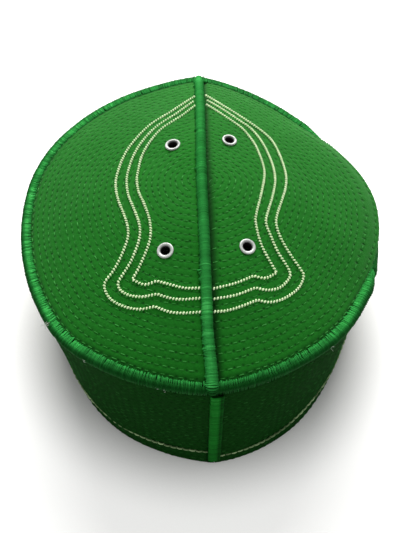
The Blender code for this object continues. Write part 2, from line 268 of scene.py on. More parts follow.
def by_side(table, side, x):
    """A smooth curve through a table's left or right column."""
    return smooth_table(table, 1 if side < 0 else 2, x)


def unit(vectors):
    return vectors / np.maximum(np.linalg.norm(vectors, axis=-1, keepdims=True), 1e-9)


def bell(distance, width):
    """1 at no distance, falling away over a width."""
    return np.exp(-((distance / width) ** 2))


def eased(share):
    """A share from 0 to 1 with a slow start and end."""
    share = np.clip(share, 0, 1)
    return share**2 * (3 - 2 * share)


def run_along(line):
    """The distance from a line's start to each of its points."""
    return np.concatenate([[0], np.cumsum(np.linalg.norm(np.diff(line, axis=0), axis=1))])


def even_places(count, length):
    """The middles of equal steps along a length."""
    return (np.arange(count) + 0.5) / count * length


def spots_at(places, run, line):
    """Points of a line, or values along it, at distances along its run."""
    return np.stack([np.interp(places, run, column) for column in line.T], -1)


def along_line(line, places, step):
    """Points at distances along a line, and the way ahead at each."""
    run = run_along(line)
    ahead = spots_at(places + step, run, line) - spots_at(places - step, run, line)
    return spots_at(places, run, line), unit(ahead)


def rim_radius(side, degrees):
    return RIM_RADIUS * by_side(RIM_OUTLINE, side, degrees)


def roll_share(side, degrees):
    """How far the crown is rolled over the cord, which it is only on the right."""
    if side < 0:
        return np.zeros_like(np.asarray(degrees, float))
    return np.maximum(0.0, smooth_table(RIM_OUTLINE, 3, degrees))


def foot_radius(side, degrees):
    return FOOT_HALF_LENGTH * by_side(FOOT_OUTLINE, side, degrees)


def edge_radius(side, degrees):
    """How far out the crown's cloth reaches, inside the cord."""
    return rim_radius(side, degrees) - CORD_RADIUS - GAP


def edge_outline(side):
    degrees = np.linspace(0, 180, 121)
    radii = edge_radius(side, degrees)
    return -radii * np.cos(np.radians(degrees)), radii * np.sin(np.radians(degrees))


EDGES = {side: edge_outline(side) for side, _ in SIDES}


def lengthwise(front, back, y):
    """What changes evenly from the front of the rim to the back."""
    return front + (back - front) * (1 + y / RIM_RADIUS) / 2


def arch(y):
    """0 at the crown's front and back ends, 1 midway."""
    reach = np.where(y < 0, edge_radius(1, 0.0), edge_radius(1, 180.0))
    return 1 - np.minimum(1.0, np.abs(y) / reach) ** 2


def rim_height(y):
    middle = SIDE_HEIGHT - (FRONT_HEIGHT + BACK_HEIGHT) / 2
    return lengthwise(FRONT_HEIGHT, BACK_HEIGHT, y) + middle * arch(y)


def ridge_height(y):
    return lengthwise(FRONT_HEIGHT, BACK_HEIGHT, y) + RIDGE_RISE * arch(y)


def crown_height(side, across, y):
    width = np.maximum(np.interp(y, *EDGES[side]), 1.0)
    share = np.minimum(np.abs(across) / width, 1.0)
    low = rim_height(y)
    return low + (ridge_height(y) - low) * (1 - share**CROWN_FULLNESS)


def crown_point(side, degrees, q, middle=0.0):
    """Points of a crown half: q runs from a middle on the ridge, 0, to the edge, 1."""
    degrees, q = np.broadcast_arrays(np.asarray(degrees, float), np.asarray(q, float))
    turn = np.radians(degrees)
    edge = edge_radius(side, degrees)
    roll = roll_share(side, degrees)
    angle = np.radians(ROLL_DEGREES) * np.clip((q - ROLL_START) / (1 - ROLL_START), 0, None)
    start = ROLL_START * edge
    rolled = start + (rim_radius(side, degrees) - start) * np.sin(angle)
    share = np.where(q > ROLL_START, q + roll * (rolled / edge - q), q)
    drop = roll * ROLL_DROP * (1 - np.cos(angle)) / (1 - math.cos(math.radians(ROLL_DEGREES)))
    across = SLOT + (np.maximum(edge * np.sin(turn), SLOT) - SLOT) * share
    y = middle + (-edge * np.cos(turn) - middle) * share
    return np.stack(
        [RIM_CENTRE[0] + side * across, RIM_CENTRE[1] + y, crown_height(side, across, y) - drop], -1
    )


def cord_frame(side, degrees):
    """The rim cord's middle, the way on from the crown over it, and the way down."""
    edge = crown_point(side, degrees, 1.0)
    along = unit(edge - crown_point(side, degrees, 0.985))
    down = unit(np.array([0.0, 0.0, -1.0]) + along * along[..., 2:])
    return edge + along * (CORD_RADIUS + GAP) + down * CLOTH * CORD_HANG, along, down


def band_point(side, degrees, h, inward=0.0):
    """Points of a band half: h runs from the foot, 0, to just under the cord, 1."""
    degrees, h, inward = np.broadcast_arrays(
        np.asarray(degrees, float), np.asarray(h, float), np.asarray(inward, float)
    )
    turn = np.radians(degrees)
    outward = np.stack([side * np.sin(turn), -np.cos(turn), 0 * turn], -1)
    foot = outward * (foot_radius(side, degrees) - inward)[..., None]
    centre = np.array([*RIM_CENTRE, 0.0])
    cord = cord_frame(side, degrees)[0] - centre
    reach = np.hypot(cord[..., 0], cord[..., 1]) + CLOTH / 4 - inward
    top = centre + outward * reach[..., None]
    top[..., 2] = cord[..., 2] - BAND_TOP_DROP * CORD_RADIUS - GAP
    return foot + (top - foot) * h[..., None] + np.array([side * GAP / 2, 0.0, 0.0])


def fan_limits(side):
    """The directions in which a crown half's edge meets the ridge."""
    first = math.degrees(math.asin(SLOT / float(edge_radius(side, 0.0))))
    last = 180 - math.degrees(math.asin(SLOT / float(edge_radius(side, 180.0))))
    return first, last


def crown_face(side, degrees, q):
    """Points of the crown's outer face about the quilting's middle, and the way out at each."""

    def face(turned, share):
        return crown_point(side, turned, share, QUILT_MIDDLE)

    limits = fan_limits(side)
    wide = np.maximum(q, 0.03)
    outer = np.minimum(q + 0.004, 1.0)
    around = face(np.clip(degrees + 0.5, *limits), wide) - face(np.clip(degrees - 0.5, *limits), wide)
    away = face(degrees, outer) - face(degrees, outer - 0.008)
    return face(degrees, q), unit(np.cross(away, around) * side)


def spot_on_crown(side, across, behind):
    """Points of the crown by distance from the ridge and behind the rim's centre, and the way out."""
    across, behind = np.asarray(across, float), np.asarray(behind, float)
    step = 2.0

    def slope(over, back):
        after = crown_height(side, across + over, behind + back)
        return (after - crown_height(side, across - over, behind - back)) / (2 * step)

    height = crown_height(side, across, behind)
    spot = np.stack([RIM_CENTRE[0] + side * across, RIM_CENTRE[1] + behind, height], -1)
    return spot, unit(np.stack([-side * slope(step, 0), -slope(0, step), np.ones_like(height)], -1))


def quilting(point_at, rows, stitch, seed):
    """Rows of stitches: each row's share of the way, its progress round, number and first stitch."""
    rng = np.random.default_rng(seed)
    made = []
    for k in range(rows):
        share = (k + 0.5) / rows
        run = run_along(point_at(DENSE, share))
        stitches = max(2, round(run[-1] / stitch))
        phase = rng.uniform(-0.12, 0.12)
        progress = run / run[-1]
        turns = rng.uniform(0, math.tau, 4)
        pace = 0.2 / stitches * np.sin(math.tau * progress * stitches / 9 + turns[0])
        drift = pace[0] + (pace[-1] - pace[0]) * progress
        sway = SWAY * sum(np.sin(run / wave + turn) for wave, turn in zip(SWAY_WAVES, turns[1:]))
        made.append(QuiltRow(share, progress + pace - drift, stitches, phase, sway))
    return made


def stitch_number(rows, row, degrees):
    """How many stitches round each place is along its row, and how far the row sways there."""
    number, sway = np.zeros(len(degrees)), np.zeros(len(degrees))
    for k, line in enumerate(rows):
        here = row == k
        number[here] = line.stitches * np.interp(degrees[here], DENSE, line.progress) + line.phase
        sway[here] = np.interp(degrees[here], DENSE, line.sway)
    return number, sway


def valley(rows, degrees, share, depth, pitch):
    """How far the quilting pulls the cloth in, deepest where the needle went through."""
    place = np.clip(share, 0, 1 - 1e-6) * len(rows)
    number, sway = stitch_number(rows, np.floor(place).astype(int), degrees)
    off_row = (place % 1 - 0.5 - sway) * pitch
    return -depth * bell(off_row, 0.55) * (0.75 + 0.35 * np.cos(math.tau * number))


def crown_lift(side, degrees, q):
    """The crown's slow unevenness, its groove beside the ridge and its turned edge."""
    point = crown_point(side, degrees, q, QUILT_MIDDLE)
    x, y = point[..., 0], point[..., 1]
    uneven = 0.35 * np.sin(x / 13 + y / 21) * np.sin(y / 17 - x / 29 + side)
    uneven += 0.15 * np.sin(x / 5.5) * np.sin(y / 7)
    groove = RIDGE_GROOVE[side] * bell(np.abs(x - RIM_CENTRE[0]) - SLOT, 1.7)
    turned_in = 0.3 * bell((1 - q) * RIM_RADIUS, 1.2)
    return uneven * np.clip(8 * (1 - q), 0, 1) - groove - turned_in


def tubes(paths, radii, sides, ups):
    """Closed round threads along paths (threads, stations, 3): their points and faces."""
    count, stations = paths.shape[:2]
    ahead = unit(np.gradient(paths, axis=1))
    beside = unit(np.cross(ahead, np.broadcast_to(ups, paths.shape)))
    above = np.cross(beside, ahead)
    turn = np.arange(sides) * math.tau / sides
    ring = beside[:, :, None] * np.cos(turn)[:, None] + above[:, :, None] * np.sin(turn)[:, None]
    radii = np.broadcast_to(radii, (count, stations))
    points = paths[:, :, None] + radii[:, :, None, None] * ring
    index = np.arange(count * stations * sides).reshape(count, stations, sides)
    turned = np.roll(index, -1, axis=2)
    walls = np.stack([index[:, :-1], index[:, 1:], turned[:, 1:], turned[:, :-1]], -1).reshape(-1, 4)
    return points.reshape(-1, 3), [walls, index[:, 0], index[:, -1, ::-1]]


def sleeve(rings, count, flipped):
    """The walls of a sleeve made of rings of so many points, and its two caps."""
    index = np.arange(rings * count).reshape(rings, count)
    turned = np.roll(index, -1, axis=1)
    walls = np.stack([index[:-1], index[1:], turned[1:], turned[:-1]], -1).reshape(-1, 4)
    caps = np.stack([index[0], index[-1][::-1]])
    return [walls[:, ::-1], caps[:, ::-1]] if flipped else [walls, caps]


def bent(points):
    """Points moved to the right with the real ridge, towards the back and in front."""
    points = np.array(points, float)
    across, behind, _ = np.moveaxis(points - [*RIM_CENTRE, 0.0], -1, 0)
    height = np.clip(points[..., 2] / BACK_HEIGHT, 0, 1)
    back = RIDGE_BEND * eased(behind / RIM_RADIUS) * height
    front = FRONT_BEND * eased((-behind / RIM_RADIUS - FRONT_BEND_START) / (1 - FRONT_BEND_START))
    points[..., 0] += (back + front) * bell(across, BEND_WIDTH)
    return points


def piece(name, points, faces, material, spots=None, corners=None):
    """A mesh object from points in millimetres and arrays of faces, with named values on it."""
    faces = [np.asarray(group, np.int32) for group in faces if len(group)]
    loops = np.concatenate([group.ravel() for group in faces])
    sizes = np.concatenate([np.full(len(group), group.shape[1]) for group in faces])
    starts = np.concatenate([[0], np.cumsum(sizes)[:-1]]).astype(np.int32)
    mesh = bpy.data.meshes.new(name)
    mesh.vertices.add(len(points))
    mesh.vertices.foreach_set("co", ((bent(points) + OVER_FLOOR) * MM).astype(np.float32).ravel())
    mesh.loops.add(len(loops))
    mesh.loops.foreach_set("vertex_index", loops)
    mesh.polygons.add(len(starts))
    mesh.polygons.foreach_set("loop_start", starts)
    mesh.update(calc_edges=True)
    for label, values in (spots or {}).items():
        add_values(mesh, label, values, "POINT")
    for label, values in (corners or {}).items():
        add_values(mesh, label, values, "CORNER")
    mesh.shade_smooth()
    mesh.materials.append(material)
    made = bpy.data.objects.new(name, mesh)
    bpy.context.scene.collection.objects.link(made)
    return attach(made, "root") or made


def add_values(mesh, label, values, domain):
    values = np.asarray(values, np.float32)
    if values.ndim == 1:
        mesh.attributes.new(label, "FLOAT", domain).data.foreach_set("value", values)
    else:
        mesh.attributes.new(label, "FLOAT_VECTOR", domain).data.foreach_set("vector", values.ravel())


def threads(name, paths, radii, sides, ups, material, tones):
    """A piece made of threads, each with its own tone and painted light and shade; these may differ along a
    thread.
    """
    points, faces = tubes(paths, radii, sides, ups)
    tones = np.broadcast_to(np.asarray(tones).reshape(len(paths), -1), paths.shape[:2])
    made = piece(name, points, faces, material, {"tone_and_shade": np.repeat(tones.ravel(), sides)})
    return made


class Value:
    """A node's output that takes part in arithmetic, each step adding its Math node."""

    def __init__(self, finish, socket):
        self.finish, self.socket = finish, socket

    def __add__(self, other):
        return self.finish.math("ADD", self, other)

    __radd__ = __add__

    def __sub__(self, other):
        return self.finish.math("SUBTRACT", self, other)

    def __rsub__(self, other):
        return self.finish.math("SUBTRACT", other, self)

    def __mul__(self, other):
        return self.finish.math("MULTIPLY", self, other)

    __rmul__ = __mul__

    def __truediv__(self, other):
        return self.finish.math("DIVIDE", self, other)

    def __pow__(self, other):
        return self.finish.math("POWER", self, other)


class Finish:
    """A material put together from nodes."""

    def __init__(self, name):
        self.material = bpy.data.materials.new(name)
        self.material.use_nodes = True
        self.tree = self.material.node_tree
        self.tree.nodes.clear()

    def node(self, kind, settings=None, sockets=None, output=0):
        made = self.tree.nodes.new(kind)
        for key, value in (settings or {}).items():
            setattr(made, key, value)
        for key, value in (sockets or {}).items():
            if isinstance(value, Value):
                self.tree.links.new(value.socket, made.inputs[key])
            else:
                made.inputs[key].default_value = value
        return Value(self, made.outputs[output])

    def math(self, operation, *items):
        return self.node("ShaderNodeMath", {"operation": operation}, dict(enumerate(items)))

    def attribute(self, name, output="Fac"):
        return self.node("ShaderNodeAttribute", {"attribute_name": name}, output=output)

    def parts(self, vector):
        split = self.node("ShaderNodeSeparateXYZ", sockets={0: vector}).socket.node
        return [Value(self, output) for output in split.outputs]

    def place(self):
        return self.node("ShaderNodeTexCoord", output="Object")

    def noise(self, size_mm, detail=2.0, roughness=0.5):
        scale = 1 / (size_mm * MM)
        return self.node(
            "ShaderNodeTexNoise", None,
            {"Vector": self.place(), "Scale": scale, "Detail": detail, "Roughness": roughness},
        )

    def chance(self, first, second):
        """A number from 0 to 1 that is the same wherever the two numbers are."""
        spot = self.node("ShaderNodeCombineXYZ", None, {0: first, 1: second})
        return self.node("ShaderNodeTexWhiteNoise", {"noise_dimensions": "3D"}, {"Vector": spot})

    def between(self, value, low, high):
        """0 at low, 1 at high."""
        return self.node(
            "ShaderNodeMapRange", {"interpolation_type": "SMOOTHSTEP"}, {0: value, 1: low, 2: high}
        )

    def mix(self, share, first, second):
        def colour(item):
            return item if isinstance(item, Value) else (*item, 1.0)

        sockets = {0: share, 6: colour(first), 7: colour(second)}
        return self.node("ShaderNodeMix", {"data_type": "RGBA"}, sockets, output=2)

    def bump(self, height, distance_mm):
        sockets = {"Height": height, "Distance": distance_mm * MM, "Strength": 1.0}
        return self.node("ShaderNodeBump", None, sockets)

    def surface(self, **sockets):
        named = {key.replace("_", " "): value for key, value in sockets.items()}
        shader = self.node("ShaderNodeBsdfPrincipled", None, {
            key: (*value, 1.0) if isinstance(value, tuple) else value for key, value in named.items()
        })
        end = self.tree.nodes.new("ShaderNodeOutputMaterial")
        self.tree.links.new(shader.socket, end.inputs["Surface"])
        return self.material


def shade(colour, factor):
    """A colour made darker, or lighter up to white."""
    return tuple(min(1.0, channel * factor) for channel in colour)


def quilted_cloth(name, colour, shade_colour, stitch_mm, rows, pitch, sheen, shine):
    """Woven cloth with faint pile and uneven dye, with painted shade in the needle holes along its quilting
    rows, down the middle of each row, along its last rows and right of the ridge.
    """
    finish = Finish(name)
    number, off_row, row = finish.parts(finish.attribute("stitches", "Vector"))
    needle = finish.math("ROUND", number)
    strength = finish.chance(needle, row)
    along = (number - needle + (finish.chance(needle, row + 0.37) - 0.5) * 0.14) * stitch_mm
    off_row = off_row + (finish.chance(needle, row + 0.71) - 0.5) * 0.3
    speck = finish.noise(1.7, 1.0)
    patch = finish.noise(14.0, 2.0)
    # Painted shade in the needle holes: the cloth darkens towards each hole, more in some patches than in
    # others.
    from_hole = (along * along + off_row * off_row) ** 0.5 + (speck - 0.5) * 0.5
    hole = finish.between(from_hole, 0.75, 0.2) * finish.between(patch, 0.1, 0.5) * (0.5 + strength * 0.5)
    # Painted shade down the middle of each quilting row, where the thread pulls the cloth in.
    row_valley_shade = finish.between(off_row * off_row, 0.8, 0.0) * (0.03 + finish.between(patch, 0.3, 0.7) * 0.09)
    from_edge = rows - 0.5 - row - off_row / pitch
    run, rise, _ = finish.parts(finish.attribute("cloth_place", "Vector"))
    waves = math.tau / WEAVE_PITCH
    weave = finish.math("SINE", run * waves) * finish.math("SINE", rise * waves)
    dye = finish.noise(28.0, 3.0)
    pile = finish.noise(0.9, 3.0, 0.7)
    ground = finish.mix(dye, shade(colour, 0.86), shade(colour, 1.14))
    ground = finish.mix(finish.between(pile, 0.35, 0.75) * 0.45, ground, shade(colour, 1.6))
    ground = finish.mix(row_valley_shade, ground, shade(colour, 0.4))
    ground = finish.mix(hole * 0.85, ground, shade_colour)
    # Painted shade along the cloth's last rows, next to the rim cord.
    ground = finish.mix(finish.between(from_edge, 1.3, 0.0) * 0.7, ground, shade_colour)
    # Painted shade in the groove on the ridge's right side.
    from_ridge = finish.parts(finish.place())[0] - RIDGE_PLACE
    shaded = finish.between(from_ridge, 7.5 * MM, 2.6 * MM) * finish.between(from_ridge, 0, MM)
    ground = finish.mix(shaded * 0.9, ground, shade_colour)
    relief = finish.bump(weave * 0.5 + pile * 0.9 - hole * 1.4, 0.16)
    return finish.surface(
        Base_Color=ground,
        Roughness=0.78 + dye * 0.14,
        Normal=relief,
        Sheen_Weight=sheen,
        Sheen_Roughness=0.5,
        Sheen_Tint=(0.75, 1.0, 0.75),
        Specular_IOR_Level=shine,
    )


def thread_finish(name, dull, bright, roughness, sheen, shine=0.2, glow=0.0):
    """Twisted thread: each thread has its own tone and painted light and shade, with fine fibres along it, a
    painted highlight where it is brightest and a painted glow when glow is set.
    """
    finish = Finish(name)
    tone_and_shade = finish.attribute("tone_and_shade")
    fibres = finish.noise(0.25, 2.0, 0.6)
    patch = finish.noise(9.0, 2.0)
    share = tone_and_shade * (0.78 + (fibres - 0.5) * 0.55 + (patch - 0.5) * 0.5) + 0.08
    # Painted highlight: the brightest parts of a thread are mixed towards a lighter colour.
    glint = finish.between(share, 0.75, 1.25)
    lit = tuple(min(1.0, channel * 1.3 + 0.045) for channel in bright)
    # Painted light: the thread glows in its bright colour by the glow strength.
    return finish.surface(
        Emission_Color=bright,
        Emission_Strength=glow,
        Base_Color=finish.mix(glint, finish.mix(share, dull, bright), lit),
        Roughness=roughness + (fibres - 0.5) * 0.25,
        Normal=finish.bump(fibres, 0.06),
        Sheen_Weight=sheen,
        Sheen_Roughness=0.4,
        Sheen_Tint=shade(bright, 2.5),
        Specular_IOR_Level=shine,
    )


def eyelet_metal(name, colour):
    """Bright nickel with rolling marks and a little tarnish, darkened as painted shade down its throat and on
    the back pair.
    """
    finish = Finish(name)
    marks = finish.noise(0.35, 3.0, 0.6)
    tarnish = finish.between(finish.noise(2.6, 3.0), 0.52, 0.75)
    metal = finish.mix(tarnish * 0.5, colour, shade(colour, 0.6))
    return finish.surface(
        Base_Color=finish.mix(finish.attribute("tone_and_shade"), shade(colour, 0.04), metal),
        Metallic=0.45 - tarnish * 0.15,
        Roughness=0.36 + marks * 0.16 + tarnish * 0.2,
        Normal=finish.bump(marks, 0.02),
    )


def floor_paper(name, colour, glow):
    """Pale paper that glows a little all round the cap, so that it stays as light as the photo's."""
    finish = Finish(name)
    grain = finish.noise(2.2, 3.0)
    across, behind, _ = finish.parts(finish.place())
    from_middle = (across * across + behind * behind) ** 0.5
    glowing = finish.between(from_middle, FOOT_HALF_LENGTH * 0.85 * MM, FOOT_HALF_LENGTH * 1.3 * MM)
    return finish.surface(
        Base_Color=finish.mix(grain * 0.2, colour, shade(colour, 0.97)),
        Roughness=0.85 + grain * 0.05,
        Normal=finish.bump(grain, 0.05),
        Specular_IOR_Level=0.1,
        Emission_Color=finish.mix(glowing, (0.0, 0.0, 0.0), colour),
        Emission_Strength=glow,
    )


def fan_rings(rows, per_row, finest):
    """Rings of a fan: each one's share of the way out and its columns, doubled as it widens."""
    rings = []
    for j in range(1, rows * per_row + 1):
        share = j / (rows * per_row)
        columns = finest
        while columns > finest / 16 and columns / 2 >= finest * share:
            columns //= 2
        rings.append((share, int(columns)))
    return rings


def fan(side, rings):
    """A fan over a crown half: degrees and share of its points, faces and the loop round it."""
    first, last = fan_limits(side)
    degrees, shares, starts = [np.array([90.0])], [np.array([0.0])], []
    total = 1
    for share, columns in rings:
        starts.append(total)
        degrees.append(np.linspace(first, last, columns + 1))
        shares.append(np.full(columns + 1, share))
        total += columns + 1
    threes, fours = [], []
    columns = rings[0][1]
    i = np.arange(columns)
    threes.append(np.stack([0 * i, starts[0] + i, starts[0] + i + 1], -1))
    for ring in range(len(rings) - 1):
        inner, outer = rings[ring][1], rings[ring + 1][1]
        a, b = starts[ring], starts[ring + 1]
        i = np.arange(inner)
        if inner == outer:
            fours.append(np.stack([a + i, b + i, b + i + 1, a + i + 1], -1))
        else:
            threes.append(np.stack([a + i, b + 2 * i, b + 2 * i + 1], -1))
            threes.append(np.stack([a + i, b + 2 * i + 1, a + i + 1], -1))
            threes.append(np.stack([a + i + 1, b + 2 * i + 1, b + 2 * i + 2], -1))
    end = starts[-1]
    outward = [(0.0, 0)] + [(share, start) for (share, _), start in zip(rings, starts)]
    rim = [(1 + i / rings[-1][1], end + i) for i in range(1, rings[-1][1] + 1)]
    back = [(3 - share, start + columns) for (share, columns), start in zip(rings[:-1], starts)][::-1]
    loop = outward + rim + back + [(3.0, 0)]
    return *[np.concatenate(part) for part in (degrees, shares, threes, fours)], loop


def zip_loops(upper, lower, offset):
    """Triangles that join two loops running the same way."""
    i = j = 0
    made = []
    while i < len(upper) - 1 or j < len(lower) - 1:
        if j == len(lower) - 1 or (i < len(upper) - 1 and upper[i + 1][0] <= lower[j + 1][0]):
            made.append((upper[i][1], offset + lower[j][1], upper[i + 1][1]))
            i += 1
        else:
            made.append((upper[i][1], offset + lower[j][1], offset + lower[j + 1][1]))
            j += 1
    return np.array(made)


def corner_stitches(faces, degrees, share, rows, pitch):
    """At each face corner the stitch number and the distance off the row that the face belongs to."""
    count = len(rows)
    row = np.clip(np.floor(share[faces].mean(axis=1) * count), 0, count - 1).astype(int)
    row = np.repeat(row, faces.shape[1])
    corner = faces.ravel()
    number, sway = stitch_number(rows, row, degrees[corner])
    off_row = (share[corner] * count - row - 0.5 - sway) * pitch
    return np.stack([number, off_row, row], -1)


def crown_rows(side, cloth):
    """A crown half's quilting rows."""
    limits = fan_limits(side)
    return quilting(
        lambda degrees, share: crown_point(side, np.clip(degrees, *limits), share, QUILT_MIDDLE),
        cloth.crown_rows, cloth.stitch / MM, 11 + side,
    )


def crown_pitch(cloth):
    """From one row of the crown's quilting to the next."""
    return RIM_RADIUS / cloth.crown_rows


def band_pitch(cloth):
    """From one row of the band's quilting to the next."""
    return SIDE_HEIGHT / cloth.band_rows


def hole_cutter(side, across, behind):
    """A round bar that stands through the crown where an eyelet goes."""
    spot, out = spot_on_crown(side, across * RIM_RADIUS, behind * RIM_RADIUS)
    bm = bmesh.new()
    radius = (BARREL_RADIUS + GAP) * MM
    depth = 6 * CLOTH * MM
    bmesh.ops.create_cone(bm, cap_ends=True, segments=40, depth=depth, radius1=radius, radius2=radius)
    turn = Vector(out).to_track_quat("Z", "Y").to_matrix().to_4x4()
    bm.transform(Matrix.Translation(Vector((bent(spot) + OVER_FLOOR) * MM)) @ turn)
    mesh = bpy.data.meshes.new("hole_cutter")
    bm.to_mesh(mesh)
    bm.free()
    cutter = bpy.data.objects.new("hole_cutter", mesh)
    bpy.context.scene.collection.objects.link(cutter)
    return cutter


def cut_holes(made, side):
    """Cuts the eyelets' holes through a crown half."""
    cutters = [hole_cutter(*eyelet[1:]) for eyelet in EYELETS if eyelet[1] == side]
    for cutter in cutters:
        cut = made.modifiers.new("eyelet_hole", "BOOLEAN")
        cut.object, cut.operation, cut.solver = cutter, "DIFFERENCE", "EXACT"
    bpy.context.view_layer.update()
    graph = bpy.context.evaluated_depsgraph_get()
    mesh = bpy.data.meshes.new_from_object(
        made.evaluated_get(graph), preserve_all_data_layers=True, depsgraph=graph
    )
    old = made.data
    made.modifiers.clear()
    made.data = mesh
    mesh.name = made.name
    bpy.data.meshes.remove(old)
    for cutter in cutters:
        bpy.data.meshes.remove(cutter.data)


def build_crown_cloth(side, word, cloth, material):
    """A quilted crown half: its outer face, its plain inner face and the wall that joins them."""
    rows, pitch = crown_rows(side, cloth), crown_pitch(cloth)
    degrees, share, threes, fours, loop = fan(side, fan_rings(cloth.crown_rows, *OUTER_MESH))
    spot, out = crown_face(side, degrees, share)
    pulled_in = valley(rows, degrees, share, cloth.valley / MM, pitch)
    upper = spot + out * (pulled_in + crown_lift(side, degrees, share) + CROWN_SKIN)[:, None]
    inner_rings = fan_rings(cloth.crown_rows // 2, *INNER_MESH)
    low_degrees, low_share, low_threes, low_fours, low_loop = fan(side, inner_rings)
    low_spot, low_out = crown_face(side, low_degrees, low_share)
    lower = low_spot - low_out * (CLOTH + 0.1)
    offset = len(upper)
    groups = [threes, fours, low_threes[:, ::-1] + offset, low_fours[:, ::-1] + offset]
    walls = zip_loops(loop, low_loop, offset)
    if side < 0:
        groups = [group[:, ::-1] for group in groups]
        walls = walls[:, ::-1]
    all_degrees = np.concatenate([degrees, low_degrees])
    all_share = np.concatenate([share, low_share])
    corners = [corner_stitches(group, all_degrees, all_share, rows, pitch) for group in groups]
    corners.append(np.tile(UNSTITCHED, (walls.size, 1)))
    points = np.concatenate([upper, lower])
    made = piece(
        "crown_cloth_" + word, points, groups + [walls], material,
        {"cloth_place": points}, {"stitches": np.concatenate(corners)},
    )
    cut_holes(made, side)
    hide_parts("crown_" + word)


def stitch_paths(point_at, rows, lift, keep=None):
    """One path for each quilting stitch, from hole to hole, and the ways out along it."""
    degrees, shares = [], []
    for line in rows:
        first = math.ceil(line.phase)
        numbers = np.arange(first, math.floor(line.stitches + line.phase))
        if not len(numbers):
            continue
        steps = numbers[:, None] + np.array([place for place, _ in QUILT_STITCH])
        degrees.append(np.interp((steps - line.phase) / line.stitches, line.progress, DENSE))
        shares.append(line.share + np.interp(degrees[-1], DENSE, line.sway) / len(rows))
    degrees, shares = np.concatenate(degrees), np.concatenate(shares)
    spot, out = point_at(degrees.ravel(), shares.ravel())
    spot, out = spot.reshape(*degrees.shape, 3), out.reshape(*degrees.shape, 3)
    if keep is not None:
        kept = keep(spot.mean(axis=1))
        spot, out = spot[kept], out[kept]
    return spot + out * np.asarray(lift)[None, :, None], out


def stitch_lift(cloth, sunk, raised):
    """How far out of the cloth's face a quilting stitch lies: sunk in a hole, over the cloth, sunk."""
    pulled_in = cloth.valley / MM
    low, high = -pulled_in - sunk, raised - 0.4 * pulled_in
    return [low, high, high, low]


def stitch_thickness(cloth, rng, count):
    """Each quilting stitch's radius at its stations."""
    taper = np.array([thickness for _, thickness in QUILT_STITCH])
    return cloth.thread / MM / 2 * rng.uniform(0.8, 1.15, (count, 1)) * taper


def clear_of_eyelets(middles):
    """Which places on the crown aren't under an eyelet's flange."""
    kept = np.ones(len(middles), bool)
    for _, side, across, behind in EYELETS:
        spot = spot_on_crown(side, across * RIM_RADIUS, behind * RIM_RADIUS)[0]
        kept &= np.linalg.norm(middles[:, :2] - spot[:2], axis=1) > FLANGE_RADIUS + 0.6
    return kept


def build_crown_stitching(side, word, cloth, material):
    """A crown half's quilting stitches, with none under an eyelet."""
    def point_at(degrees, share):
        spot, out = crown_face(side, degrees, share)
        return spot + out * (crown_lift(side, degrees, share) + CROWN_SKIN)[:, None], out

    rng = np.random.default_rng(21 + side)
    lift = stitch_lift(cloth, 0.45, 0.02)
    paths, ups = stitch_paths(point_at, crown_rows(side, cloth), lift, clear_of_eyelets)
    count = len(paths)
    paths = paths + ups * rng.normal(0, 0.05, (count, 1, 1))
    thick = stitch_thickness(cloth, rng, count)
    tones = rng.uniform(0.35, 1, count)
    threads("crown_quilting_" + word, paths, thick, 5, ups, material, tones)


def band_face(side, degrees, h):
    """Points of the band's outer face, and the way out at each."""
    after, before = np.clip(degrees + 0.5, 0, 180), np.clip(degrees - 0.5, 0, 180)
    around = band_point(side, after, h) - band_point(side, before, h)
    rise = band_point(side, degrees, 1.0) - band_point(side, degrees, 0.0)
    return band_point(side, degrees, h), unit(np.cross(around, rise) * side)


def band_rows(side, cloth):
    """A band half's quilting rows."""
    return quilting(
        lambda degrees, h: band_point(side, degrees, h), cloth.band_rows, cloth.stitch / MM, 31 + side
    )


def band_lift(side, degrees, h):
    """The band's slow unevenness, gone at its two edges and seams."""
    run = np.radians(degrees) * RIM_RADIUS
    from_seam = np.minimum(degrees, 180 - degrees)
    fade = np.clip(6 * h, 0, 1) * np.clip(6 * (1 - h), 0, 1) * np.clip(from_seam / 6, 0, 1)
    uneven = 0.45 * np.sin(run / 15 + 2 * side) * np.sin(h * 4 + run / 40)
    uneven += 0.2 * np.sin(run / 6.1) * np.sin(h * 9)
    return uneven * fade


